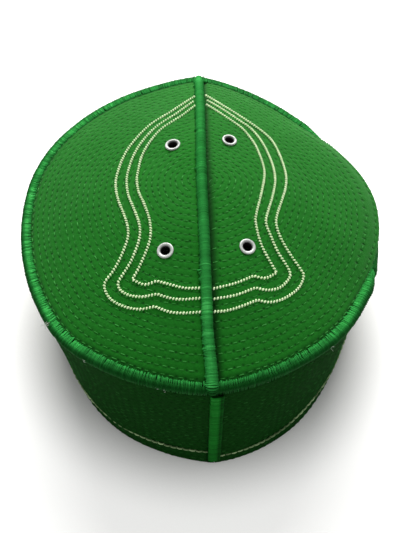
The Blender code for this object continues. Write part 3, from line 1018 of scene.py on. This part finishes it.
def build_band_cloth(side, word, cloth, material):
    """A quilted band half: a section with rounded edges, drawn round from the front seam."""
    rows, pitch = band_rows(side, cloth), band_pitch(cloth)
    per_row, columns = BAND_MESH
    around = np.radians(np.linspace(0, 180, 9))
    rounded_in = CLOTH / 2 * (1 - np.cos(around))
    rounded_h = CLOTH / 2 * (1 - np.sin(around)) / SIDE_HEIGHT
    outer_h = np.arange(2, cloth.band_rows * per_row - 1) / (cloth.band_rows * per_row)
    inner_h = np.linspace(0.97, 0.03, 25)
    section_h = np.concatenate([rounded_h[4::-1], outer_h, 1 - rounded_h, inner_h, rounded_h[:4:-1]])
    section_in = np.concatenate([
        rounded_in[4::-1], 0 * outer_h, rounded_in, 0 * inner_h + CLOTH, rounded_in[:4:-1]
    ])
    degrees = np.repeat(np.linspace(0, 180, columns + 1), len(section_h))
    h, inward = np.tile(section_h, columns + 1), np.tile(section_in, columns + 1)
    outside = (inward < 0.01) & (h > 0.02) & (h < 0.98)
    pulled_in = valley(rows, degrees, h, cloth.valley / MM, pitch)
    lift = np.where(outside, pulled_in + BAND_SKIN, 0) + band_lift(side, degrees, h)
    points = band_point(side, degrees, h, inward - lift)
    walls, caps = sleeve(columns + 1, len(section_h), side < 0)
    along = np.stack([np.radians(degrees) * RIM_RADIUS, points[:, 2], inward], -1)
    corners = [corner_stitches(walls, degrees, h, rows, pitch), np.tile(UNSTITCHED, (caps.size, 1))]
    made = piece(
        "band_cloth_" + word, points, [walls, caps], material,
        {"cloth_place": along}, {"stitches": np.concatenate(corners)},
    )
    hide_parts("band_" + word)


def build_band_stitching(side, word, cloth, material):
    """A band half's quilting stitches."""
    def point_at(degrees, h):
        spot, out = band_face(side, degrees, h)
        return spot + out * (band_lift(side, degrees, h) + BAND_SKIN)[:, None], out

    rng = np.random.default_rng(41 + side)
    paths, ups = stitch_paths(point_at, band_rows(side, cloth), stitch_lift(cloth, 0.4, 0.0))
    thick = stitch_thickness(cloth, rng, len(paths))
    tones = rng.uniform(0, 1, len(paths))
    threads("band_quilting_" + word, paths, thick, 4, ups, material, tones)


def build_rim_cord(side, word, edge, material):
    """Satin stitches laid over the rim, from the crown's edge down onto the band."""
    rng = np.random.default_rng(51 + side)
    clear = math.degrees(SLOT / RIM_RADIUS) * 0.08
    dense = np.linspace(clear, 180 - clear, 721)
    run = run_along(cord_frame(side, dense)[0])
    count = int(run[-1] / (edge.spacing / MM))
    at = np.interp(even_places(count, run[-1]), run, dense)
    step = (180 - 2 * clear) / count
    radius = CORD_RADIUS * by_side(RIM_THICKNESS, side, at) * rng.normal(1.0, 0.025, count)
    shown = 1 - np.clip(roll_share(side, at), 0, 1)
    reach = rng.gamma(1.6, 0.16, count) * shown
    hang = rng.gamma(2.0, 0.22, count) * shown
    slant = rng.normal(0, 0.35, count) * step
    path, ups = [], []
    halfway = (len(RIM_STITCH) - 1) / 2
    for station, (where, place, fall) in enumerate(RIM_STITCH):
        here = np.clip(at + slant * (station / halfway - 1), clear * 0.5, 180 - clear * 0.5)
        middle, along, down = cord_frame(side, here)
        if where == "crown":
            up = -down
            spot = crown_point(side, here, 1.0) - along * (place + reach)[:, None] - down * fall
        elif where == "cord":
            turn = math.radians(place)
            up = -along * math.cos(turn) - down * math.sin(turn)
            spot = middle + up * radius[:, None]
        else:
            spot, up = band_face(side, here, 0.985)
            spot = spot + up * place - np.array([0.0, 0.0, 1.0]) * (0.3 * hang[:, None] + fall)
        path.append(spot)
        ups.append(up)
    paths, ups = np.stack(path, 1), np.stack(ups, 1)
    thick = edge.thread / MM / 2 * rng.uniform(0.85, 1.15, (count, 1)) * np.array(RIM_TAPER)
    # Painted light and shade on each stitch, with random tone from thread to thread.
    lit = by_side(RIM_SIDE_SHADING_SHARE, side, at)[:, None]
    tones = np.array(RIM_FRONT_SHADING) * (1 - lit) + np.array(RIM_SIDE_SHADING) * lit
    tones = np.clip(tones * rng.normal(1, 0.2, (count, 1)) + rng.normal(0, 0.05, (count, 1)), 0, 1.4)
    made = threads("rim_satin_" + word, paths, thick, 4, ups, material, tones)
    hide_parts("rim_cord_" + word)
    core_at = np.linspace(clear, 180 - clear, 181)
    middle, _, down = cord_frame(side, core_at)
    core = (CORD_RADIUS * by_side(RIM_THICKNESS, side, core_at) - 0.12)[None]
    threads(
        "rim_core_" + word, middle[None], core, 10, (-down)[None], material, [CORE_SHADE]
    )


def ridge_path():
    """The ridge piping's line, from over the front rim to over the back one."""
    ends = []
    for degrees, sign, steps in ((0.0, -1, RIDGE_FRONT_END), (180.0, 1, RIDGE_BACK_END)):
        radius = float(rim_radius(1, degrees))
        tip, height = RIM_CENTRE[1] + sign * radius, float(rim_height(sign * radius))
        ends.append([
            (RIM_CENTRE[0], tip + sign * out * PIPING_RADIUS, height + up * PIPING_RADIUS)
            for out, up in steps
        ])
    y = np.linspace(-0.92, 0.92, 59) * RIM_RADIUS
    inner = np.stack([0 * y + RIM_CENTRE[0], RIM_CENTRE[1] + y, ridge_height(y) + 0.14 * PIPING_RADIUS], -1)
    return np.concatenate([ends[0], inner, ends[1][::-1]])


def ridge_radius(places, length):
    """The ridge's radius along its line, thinner at both ends and fuller towards the front."""
    end = np.minimum(places, length - places)
    swell = 1 - 0.2 * np.clip(1 - end / 2.2, 0, 1) ** 2
    return PIPING_RADIUS * (swell + 0.14 * bell(places, 14.0))


def build_ridge(edge, material):
    """Satin stitches laid over the ridge, and the core under them."""
    rng = np.random.default_rng(61)
    line = ridge_path()
    length = run_along(line)[-1]
    count = int(length / (edge.spacing * 0.92 / MM))
    places = even_places(count, length)
    spot, ahead = along_line(line, places, 0.8)
    right = np.array([1.0, 0.0, 0.0])
    up = unit(np.cross(right, ahead))
    radius = ridge_radius(places, length) * rng.normal(1.0, 0.01, count)
    slant = rng.normal(0.12, 0.1, count)
    loose = rng.random(count) < 0.16
    reach = rng.gamma(2.0, 0.12, count) * np.where(loose, 1.5, 1.0)
    path, ups = [], []
    for angle, raised, _ in RIDGE_STITCH:
        turn = math.radians(angle)
        wide = radius + (reach if angle < -80 else 0.0)
        place = spot + right * (wide * math.sin(turn))[:, None] + ahead * (slant * angle / 90)[:, None]
        path.append(place + up * (radius * math.cos(turn) + raised)[:, None])
        ups.append(right * math.sin(turn) + up * math.cos(turn))
    paths, ups = np.stack(path, 1), np.stack(ups, 1)
    thick = edge.thread / MM / 2 * rng.uniform(0.85, 1.12, (count, 1))
    # Painted light and shade across each stitch, with random tone from thread to thread; then darker towards
    # the back and dark at the front tip.
    tones = np.array([tone_and_shade for *_, tone_and_shade in RIDGE_STITCH]) + rng.normal(0, 0.11, (count, 1))
    tones = np.clip(tones + 0.2 * loose[:, None], 0, 1.4)
    tones *= ((0.95 - 0.25 * places / length) * np.clip((places - 1.9) / 1.3, 0, 1))[:, None]
    made = threads("ridge_satin", paths, thick, 4, ups, material, tones)
    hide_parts("ridge_piping")
    places = np.linspace(0, length, 240)
    spot, ahead = along_line(line, places, 0.8)
    core = (ridge_radius(places, length) - 0.15)[None]
    up = unit(np.cross(right, ahead))[None]
    threads("ridge_core", spot[None], core, 12, up, material, [CORE_SHADE])


def bar_frame(degrees, shift):
    """A seam bar's low and high end and its ways across, out and up."""
    foot = (band_point(-1, degrees, 0.0) + band_point(1, degrees, 0.0)) / 2
    top = (band_point(-1, degrees, 1.0) + band_point(1, degrees, 1.0)) / 2
    length = np.linalg.norm(top - foot)
    low = foot + (top - foot) * (BAR_ABOVE_FOOT + BAR_LIFT) / length
    high = foot + (top - foot) * (1 - BAR_BELOW_RIM / length) + np.array([shift, 0.0, 0.0])
    up = unit(high - low)
    out = np.array([0.0, math.copysign(1.0, foot[1]), 0.0])
    out = unit(out - up * (out @ up))
    across = np.cross(up, out)
    return low, high, across * np.sign(across[0]), out, up


def build_seam_bar(name, degrees, shift, edge, material):
    """Satin stitches laid across a seam bar, and the core under them."""
    rng = np.random.default_rng(71 + int(degrees))
    low, high, across, out, up = bar_frame(degrees, shift)
    length = np.linalg.norm(high - low)
    count = int(length / (edge.spacing * 0.9 / MM))
    rise = even_places(count, length)
    ragged = rng.normal(0, 0.12, (count, 2))
    slant = rng.normal(0.15, 0.12, count)
    path = []
    for place, height, _ in BAR_STITCH:
        stray = ragged[:, int(place > 0)] if abs(place) > 0.45 else np.zeros(count)
        over = low + across * (place * BAR_WIDTH + stray)[:, None] + out * (GAP + BAR_THICKNESS * height)
        path.append(over + up * (rise + slant * place * 2)[:, None])
    paths = np.stack(path, 1)
    thick = edge.thread / MM / 2 * rng.uniform(0.85, 1.12, (count, 1))
    # Painted light and shade across each stitch, with random tone from thread to thread, lighter towards the
    # bar's top.
    tones = np.array([tone_and_shade for *_, tone_and_shade in BAR_STITCH]) + rng.normal(0, 0.14, (count, 1))
    tones = np.clip(tones * (0.65 + 0.45 * rise / length)[:, None], 0, 1)
    made = threads(name + "_satin", paths, thick, 4, out, material, tones)
    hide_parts(name)
    middle = low + up * (np.linspace(0.01, 0.99, 9) * length)[:, None]
    outline = np.array(BAR_CORE)
    section = across * BAR_WIDTH * outline[:, :1] + out * (GAP + BAR_THICKNESS * outline[:, 1:])
    points = (middle[:, None] + section).reshape(-1, 3)
    faces = sleeve(len(middle), len(outline), np.cross(across, up) @ out > 0)
    core = piece(name + "_core", points, faces, material, {"tone_and_shade": np.full(len(points), CORE_SHADE)})


def build_eyelet(name, side, across, behind, material):
    """A turned grommet: domed flange outside, barrel through the cloth, flat flange inside."""
    top = GAP + 0.1
    back = -CLOTH - GAP
    quarter = [(math.cos(turn), math.sin(turn)) for turn in np.radians(np.linspace(0, 90, 7))]
    dome = [(FLANGE_RADIUS - 0.65 + 0.45 * c, top + 0.5 * s) for c, s in quarter]
    throat = [(HOLE_RADIUS + 1.05 - 1.05 * s, top - 0.6 + 1.1 * c) for c, s in quarter]
    profile = dome + throat + [
        (HOLE_RADIUS, back - 0.4), (HOLE_RADIUS + 0.3, back - 0.75), (BACK_FLANGE_RADIUS - 0.3, back - 0.5),
        (BACK_FLANGE_RADIUS, back - 0.25), (BACK_FLANGE_RADIUS - 0.1, back), (BARREL_RADIUS, back),
        (BARREL_RADIUS, top - 0.2), (FLANGE_RADIUS - 0.25, top - 0.2),
    ]
    # Painted shade: full tone on the flanges, falling to black down the throat, and dimmer on the back pair.
    tones = np.array([1.0] * len(dome) + [*THROAT_SHADE, 0.0] + [1.0] * 7)
    if behind > 0:
        tones[2:2 + len(BACK_EYELET_SHADE)] *= BACK_EYELET_SHADE
    steps = 56
    spot, out = spot_on_crown(side, across * RIM_RADIUS, behind * RIM_RADIUS)
    beside = unit(np.cross([0.0, 1.0, 0.0], out))
    ahead = np.cross(out, beside)
    turn = np.arange(steps) * math.tau / steps
    ring = beside * np.cos(turn)[:, None] + ahead * np.sin(turn)[:, None]
    points = np.concatenate([spot + ring * r + out * z for r, z in profile])
    index = np.arange(len(points)).reshape(len(profile), steps)
    turned = np.roll(index, -1, axis=1)
    after, after_turned = np.roll(index, -1, axis=0), np.roll(turned, -1, axis=0)
    walls = np.stack([index, turned, after_turned, after], -1).reshape(-1, 4)
    made = piece(name + "_ring", points, [walls], material, {"tone_and_shade": np.repeat(tones, steps)})
    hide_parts(name)


def curve_through(points, spacing):
    """Evenly spaced points on a smooth curve through a run of points."""
    points = np.array(points, float)
    padded = np.concatenate([[2 * points[0] - points[1]], points, [2 * points[-1] - points[-2]]])
    dense = []
    for i in range(len(points) - 1):
        a, b, c, d = padded[i : i + 4]
        t = np.linspace(0, 1, 24, endpoint=False)[:, None]
        dense.append(
            0.5 * (2 * b + (c - a) * t + (2 * a - 5 * b + 4 * c - d) * t**2 + (3 * b - 3 * c + d - a) * t**3)
        )
    dense = np.concatenate([*dense, points[-1:]])
    length = run_along(dense)[-1]
    return along_line(dense, even_places(max(2, round(length / spacing)), length), 0.3)


def build_embroidery(side, word, motif, material):
    """Three lines of slanted beads of thread."""
    rng = np.random.default_rng(81 + side)
    paths, ups = [], []
    bead = motif.bead / MM
    for run in EMBROIDERY[side]:
        spots, ahead = curve_through(run, motif.spacing / MM)
        spot, out = spot_on_crown(side, spots[:, 0], spots[:, 1])
        forward, _ = spot_on_crown(side, spots[:, 0] + ahead[:, 0] * 0.5, spots[:, 1] + ahead[:, 1] * 0.5)
        tangent = unit(forward - spot)
        beside = np.cross(out, tangent)
        angle = np.radians(rng.normal(BEAD_SLANT, 6, len(spot)))[:, None]
        lean = tangent * np.cos(angle) + beside * np.sin(angle)
        wide = rng.uniform(0.9, 1.1, (len(spot), 1)) * bead / 2
        path = [spot + lean * wide * place + out * (height + 0.1) for place, height, _ in BEAD_STITCH]
        paths.append(np.stack(path, 1))
        ups.append(np.repeat(out[:, None], len(BEAD_STITCH), axis=1))
    paths, ups = np.concatenate(paths), np.concatenate(ups)
    taper = np.array([thickness for *_, thickness in BEAD_STITCH])
    thick = motif.thread / MM / 2 * rng.uniform(0.9, 1.1, (len(paths), 1)) * taper
    threads("embroidery_" + word, paths, thick, 6, ups, material, rng.uniform(0.2, 1, len(paths)))


def build_hem(side, word, motif, material):
    """The pale line of long stitches round the foot."""
    rng = np.random.default_rng(91 + side)
    share = by_side(HEM_HEIGHT, side, DENSE) / band_point(side, DENSE, 1.0)[:, 2]
    line, out = band_face(side, DENSE, share)
    run = run_along(line)
    pitch = motif.hem_stitch / MM
    count = int((run[-1] - 4) / pitch)
    starts = 2.5 + np.arange(count) * pitch
    path, ups = [], []
    for place, lift, _ in HEM_STITCH:
        at = starts + place * pitch + rng.normal(0, 0.02, count)
        path.append(spots_at(at, run, line + out * lift))
        ups.append(spots_at(at, run, out))
    paths, ups = np.stack(path, 1), np.stack(ups, 1)
    paths[:, :, 2] += rng.normal(0, 0.12, (count, 1))
    taper = np.array([thickness for *_, thickness in HEM_STITCH])
    thick = motif.hem_thread / MM / 2 * rng.uniform(0.9, 1.1, (count, 1)) * taper
    threads("hem_stitching_" + word, paths, thick, 6, ups, material, rng.uniform(0, 0.8, count))


def build_lint(material):
    """Short pale fibres caught in the stitched rim."""
    rng = np.random.default_rng(101)
    paths = []
    for side, degrees, fall, size in LINT:
        middle, along, down = cord_frame(side, np.array([degrees]))
        spot = middle[0] + (along[0] - down[0]) * CORD_RADIUS * 0.85 + down[0] * fall
        for _ in range(7):
            start = spot + rng.normal(0, 0.22 * size, 3)
            ways = rng.normal(0, 0.3 * size, (3, 3)).cumsum(axis=0)
            paths.append(np.concatenate([start[None], start + ways]))
    paths = np.stack(paths)
    up = unit(np.array([0.3, 0.5, 1.0]))
    threads("lint", paths, 0.09, 4, up, material, rng.uniform(0, 1, len(paths)))


class ClothSettings(bpy.types.PropertyGroup):
    crown_rows: IntProperty(
        name="Crown Rows", description="Quilting rows from the ridge to the rim", default=29, min=4
    )
    band_rows: IntProperty(name="Band Rows", description="Quilting rows up the band", default=24, min=4)
    stitch: FloatProperty(
        name="Stitch", description="Length of a quilting stitch", default=3.85 * MM, unit="LENGTH"
    )
    thread: FloatProperty(
        name="Thread", description="Thickness of the quilting thread", default=0.46 * MM, unit="LENGTH"
    )
    valley: FloatProperty(
        name="Valley", description="How deep the quilting pulls the cloth in", default=0.2 * MM, unit="LENGTH"
    )
    crown_colour: FloatVectorProperty(
        name="Crown", description="Colour of the crown's cloth",
        default=(0.0095, 0.165, 0.0108), subtype="COLOR",
    )
    # The band is the crown's cloth; its green is drawn far darker as painted shade.
    band_shaded_colour: FloatVectorProperty(
        name="Band", description="Colour of the band's cloth",
        default=(0.0036, 0.040, 0.0036), subtype="COLOR",
    )
    # The colour of painted shade on the cloth: in the needle holes, along its last rows and beside the ridge.
    shade_colour: FloatVectorProperty(
        name="Holes", description="Colour in the needle holes", default=(0.003, 0.060, 0.005), subtype="COLOR"
    )
    thread_colour: FloatVectorProperty(
        name="Thread", description="Colour of the quilting thread",
        default=(0.05, 0.35, 0.055), subtype="COLOR",
    )


class EdgeSettings(bpy.types.PropertyGroup):
    spacing: FloatProperty(
        name="Spacing", description="From one satin thread to the next", default=0.66 * MM, unit="LENGTH"
    )
    thread: FloatProperty(
        name="Thread", description="Thickness of a satin thread", default=0.8 * MM, unit="LENGTH"
    )
    # The satin in painted shade and in painted light; each thread is mixed between them by its tone and
    # shade.
    dull_colour: FloatVectorProperty(
        name="Dull", description="Darkest satin thread", default=(0.0015, 0.036, 0.002), subtype="COLOR"
    )
    bright_colour: FloatVectorProperty(
        name="Bright", description="Brightest satin thread", default=(0.06, 0.56, 0.11), subtype="COLOR"
    )
    # The bars' satin is the rim's thread, drawn darker as painted shade.
    bar_shaded_colour: FloatVectorProperty(
        name="Bars", description="Brightest thread of the bars", default=(0.013, 0.26, 0.024), subtype="COLOR"
    )


class MotifSettings(bpy.types.PropertyGroup):
    bead: FloatProperty(
        name="Bead", description="Length of an embroidery stitch", default=1.1 * MM, unit="LENGTH"
    )
    spacing: FloatProperty(
        name="Spacing", description="From one embroidery stitch to the next", default=1.42 * MM, unit="LENGTH"
    )
    thread: FloatProperty(
        name="Thread", description="Thickness of the embroidery thread", default=0.86 * MM, unit="LENGTH"
    )
    hem_stitch: FloatProperty(
        name="Hem Stitch", description="Length of a hem stitch", default=3.2 * MM, unit="LENGTH"
    )
    hem_thread: FloatProperty(
        name="Hem Thread", description="Thickness of the hem's thread", default=0.85 * MM, unit="LENGTH"
    )
    dull_colour: FloatVectorProperty(
        name="Dull", description="Shaded embroidery thread", default=(0.58, 0.80, 0.40), subtype="COLOR"
    )
    bright_colour: FloatVectorProperty(
        name="Bright", description="Bright embroidery thread", default=(0.84, 1.0, 0.62), subtype="COLOR"
    )
    # The hem's cream thread, drawn darker and greener than the embroidery's as painted shade.
    hem_dull_colour: FloatVectorProperty(
        name="Hem Dull", description="Shaded hem thread", default=(0.09, 0.16, 0.06), subtype="COLOR"
    )
    hem_bright_colour: FloatVectorProperty(
        name="Hem Bright", description="Bright hem thread", default=(0.62, 0.84, 0.44), subtype="COLOR"
    )


class EyeletSettings(bpy.types.PropertyGroup):
    colour: FloatVectorProperty(
        name="Metal", description="Colour of the eyelets' metal", default=(0.70, 0.73, 0.70), subtype="COLOR"
    )


class StageSettings(bpy.types.PropertyGroup):
    floor_colour: FloatVectorProperty(
        name="Floor", description="Colour of the floor", default=(0.88, 0.88, 0.87), subtype="COLOR"
    )
    floor_glow: FloatProperty(
        name="Floor Glow", description="Light of the paper floor itself", default=0.6, min=0
    )
    sky: FloatProperty(name="Sky", description="Strength of the light from all round", default=0.36, min=0)
    key: FloatProperty(
        name="Key Light", description="Power of the soft light behind and above",
        default=30.0, min=0, unit="POWER",
    )
    fill: FloatProperty(
        name="Fill Light", description="Power of the soft light in front", default=0.4, min=0, unit="POWER"
    )


SETTINGS = {
    "kufi_cloth": ClothSettings,
    "kufi_edge": EdgeSettings,
    "kufi_motif": MotifSettings,
    "kufi_eyelet": EyeletSettings,
    "kufi_stage": StageSettings,
}


class KUFI_OT_crown(bpy.types.Operator):
    """Build the two quilted crown halves and their quilting"""

    bl_idname = "kufi.crown"
    bl_label = "Crown"

    def execute(self, context):
        cloth = context.scene.kufi_cloth
        green, cloth_shade, bright = tuple(cloth.crown_colour), tuple(cloth.shade_colour), tuple(cloth.thread_colour)
        material = quilted_cloth(
            "crown_cloth_weave", green, cloth_shade, cloth.stitch / MM, cloth.crown_rows, crown_pitch(cloth),
            sheen=0.18, shine=0.04,
        )
        thread = thread_finish("crown_quilting_thread", shade(green, 0.75), bright, 0.55, 0.04, 0.12)
        for side, word in SIDES:
            build_crown_cloth(side, word, cloth, material)
            build_crown_stitching(side, word, cloth, thread)
        return {"FINISHED"}


class KUFI_OT_band(bpy.types.Operator):
    """Build the two quilted band halves and their quilting"""

    bl_idname = "kufi.band"
    bl_label = "Band"

    def execute(self, context):
        cloth = context.scene.kufi_cloth
        # The band's cloth, needle holes and quilting thread are the crown's, drawn darker as painted shade.
        green, cloth_shade = tuple(cloth.band_shaded_colour), shade(cloth.shade_colour, 0.3)
        material = quilted_cloth(
            "band_cloth_weave", green, cloth_shade, cloth.stitch / MM, cloth.band_rows, band_pitch(cloth),
            sheen=0.0, shine=0.02,
        )
        bright = shade(cloth.thread_colour, 0.38)
        thread = thread_finish("band_quilting_thread", shade(green, 0.8), bright, 0.6, 0.0, 0.03)
        for side, word in SIDES:
            build_band_cloth(side, word, cloth, material)
            build_band_stitching(side, word, cloth, thread)
        return {"FINISHED"}


class KUFI_OT_edges(bpy.types.Operator):
    """Build the satin edging of the rim and the ridge"""

    bl_idname = "kufi.edges"
    bl_label = "Rim and Ridge"

    def execute(self, context):
        edge = context.scene.kufi_edge
        dull, bright = tuple(edge.dull_colour), tuple(edge.bright_colour)
        satin = thread_finish("satin_thread", dull, bright, 0.5, 0.0, 0.02)
        for side, word in SIDES:
            build_rim_cord(side, word, edge, satin)
        build_ridge(edge, satin)
        return {"FINISHED"}


class KUFI_OT_bars(bpy.types.Operator):
    """Build the satin bars over the band's two seams"""

    bl_idname = "kufi.bars"
    bl_label = "Seam Bars"

    def execute(self, context):
        edge = context.scene.kufi_edge
        # The bars' thread is the satin drawn darker, as painted shade.
        dull, bright = shade(edge.dull_colour, 0.7), tuple(edge.bar_shaded_colour)
        satin = thread_finish("bar_thread", dull, bright, 0.55, 0.0, 0.04)
        build_seam_bar("front_seam_bar", 0.0, BAR_TOP_SHIFT, edge, satin)
        build_seam_bar("back_seam_bar", 180.0, 0.0, edge, satin)
        return {"FINISHED"}


class KUFI_OT_eyelets(bpy.types.Operator):
    """Build the four metal eyelets"""

    bl_idname = "kufi.eyelets"
    bl_label = "Eyelets"

    def execute(self, context):
        metal = eyelet_metal("eyelet_nickel", tuple(context.scene.kufi_eyelet.colour))
        for eyelet in EYELETS:
            build_eyelet(*eyelet, metal)
        return {"FINISHED"}


class KUFI_OT_motif(bpy.types.Operator):
    """Build the embroidered outline on the crown and the pale hem line"""

    bl_idname = "kufi.motif"
    bl_label = "Embroidery and Hem"

    def execute(self, context):
        motif = context.scene.kufi_motif
        dull, bright = tuple(motif.dull_colour), tuple(motif.bright_colour)
        # The cream thread glows a little, as painted light.
        cream = thread_finish("cream_thread", dull, bright, 0.55, 0.5, glow=0.2)
        # The hem's cream thread, drawn darker and greener than the embroidery's as painted shade.
        hem_dull, hem_bright = tuple(motif.hem_dull_colour), tuple(motif.hem_bright_colour)
        hem_in_shade = thread_finish("hem_thread", hem_dull, hem_bright, 0.6, 0.02, 0.05)
        for side, word in SIDES:
            build_embroidery(side, word, motif, cream)
            build_hem(side, word, motif, hem_in_shade)
        return {"FINISHED"}


class KUFI_OT_lint(bpy.types.Operator):
    """Build the pale fibres caught in the rim"""

    bl_idname = "kufi.lint"
    bl_label = "Lint"

    def execute(self, context):
        build_lint(thread_finish("lint_fibre", (0.45, 0.6, 0.45), (0.85, 0.9, 0.8), 0.7, 0.3))
        return {"FINISHED"}


# The camera, as worked out from the photograph: its place over the cap, its turn in degrees and
# its focal length in picture widths.
CAMERA_SPOT = (-18.55, -178.99, 323.22)
CAMERA_PITCH, CAMERA_YAW, CAMERA_ROLL = -58.222, 4.889, 3.163
FOCAL_WIDTHS = 619.06 / 400
SENSOR_WIDTH = 36.0


def camera_turn():
    """The way the camera looks."""
    pitch, yaw, roll = np.radians([CAMERA_PITCH, CAMERA_YAW, CAMERA_ROLL])
    forward = np.array([np.sin(yaw) * np.cos(pitch), np.cos(yaw) * np.cos(pitch), np.sin(pitch)])
    right = np.array([np.cos(yaw), -np.sin(yaw), 0.0])
    up = np.cross(right, forward)
    turned_right = np.cos(roll) * right + np.sin(roll) * up
    turned_up = -np.sin(roll) * right + np.cos(roll) * up
    return Matrix(np.stack([turned_right, turned_up, -forward], 1).tolist())


def add_floor(stage):
    """A flat sheet of paper under the cap."""
    bm = bmesh.new()
    bmesh.ops.create_grid(bm, x_segments=2, y_segments=2, size=4.0)
    mesh = bpy.data.meshes.new("floor")
    bm.to_mesh(mesh)
    bm.free()
    mesh.materials.append(floor_paper("floor_paper", tuple(stage.floor_colour), stage.floor_glow))
    floor = bpy.data.objects.new("floor", mesh)
    bpy.context.scene.collection.objects.link(floor)


def add_sky(strength):
    """White light from all round."""
    world = bpy.data.worlds.new("studio")
    world.use_nodes = True
    sky = world.node_tree.nodes["Background"]
    sky.inputs["Color"].default_value = (1.0, 1.0, 1.0, 1.0)
    sky.inputs["Strength"].default_value = strength
    bpy.context.scene.world = world


def add_area_light(name, spot, aim, size, power, colour):
    """A soft round light in metres, turned to what it aims at."""
    light = bpy.data.lights.new(name, "AREA")
    light.shape, light.size, light.energy, light.color = "DISK", size, power, colour
    made = bpy.data.objects.new(name, light)
    made.location = spot
    made.rotation_euler = (Vector(aim) - Vector(spot)).to_track_quat("-Z", "Y").to_euler()
    bpy.context.scene.collection.objects.link(made)


def add_camera():
    """A camera where the photograph was taken from."""
    camera = bpy.data.objects.new("camera", bpy.data.cameras.new("camera"))
    camera.data.sensor_fit = "HORIZONTAL"
    camera.data.sensor_width = SENSOR_WIDTH
    camera.data.lens = SENSOR_WIDTH * FOCAL_WIDTHS
    camera.data.clip_start = 0.01
    spot = Vector(CAMERA_SPOT + OVER_FLOOR) * MM
    camera.matrix_world = Matrix.Translation(spot) @ camera_turn().to_4x4()
    bpy.context.scene.collection.objects.link(camera)
    bpy.context.scene.camera = camera


class KUFI_OT_stage(bpy.types.Operator):
    """Build the pale floor, the soft lights and the camera"""

    bl_idname = "kufi.stage"
    bl_label = "Stage"

    def execute(self, context):
        stage = context.scene.kufi_stage
        add_floor(stage)
        add_sky(stage.sky)
        add_area_light("key_light", (0.05, 1.15, 0.72), (0, 0, 0.05), 1.2, stage.key, (1.0, 0.99, 0.97))
        add_area_light("fill_light", (-0.4, -1.0, 0.9), (0, 0, 0.05), 0.8, stage.fill, (1.0, 1.0, 1.0))
        add_camera()
        context.scene.view_settings.view_transform = "Standard"
        return {"FINISHED"}


OPERATORS = (
    KUFI_OT_crown, KUFI_OT_band, KUFI_OT_edges, KUFI_OT_bars, KUFI_OT_eyelets, KUFI_OT_motif, KUFI_OT_lint,
    KUFI_OT_stage,
)


class KUFI_PT_panel(bpy.types.Panel):
    """Lists the cap's sizes, colours and builders"""

    bl_label = "Quilted Kufi Cap"
    bl_idname = "KUFI_PT_panel"
    bl_space_type = "VIEW_3D"
    bl_region_type = "UI"
    bl_category = "Kufi Cap"

    def draw(self, context):
        for name, settings in SETTINGS.items():
            box = self.layout.box()
            for label in settings.__annotations__:
                box.prop(getattr(context.scene, name), label)
        for operator in OPERATORS:
            self.layout.operator(operator.bl_idname)


def register():
    for item in (*SETTINGS.values(), *OPERATORS, KUFI_PT_panel):
        bpy.utils.register_class(item)
    for name, settings in SETTINGS.items():
        setattr(bpy.types.Scene, name, PointerProperty(type=settings))


def unregister():
    for name in SETTINGS:
        delattr(bpy.types.Scene, name)
    for item in (KUFI_PT_panel, *OPERATORS[::-1], *SETTINGS.values()):
        bpy.utils.unregister_class(item)


def main():
    register()
    for operator in OPERATORS:
        group, name = operator.bl_idname.split(".")
        getattr(getattr(bpy.ops, group), name)()
    bpy.context.view_layer.update()


if __name__ == "__main__":
    main()
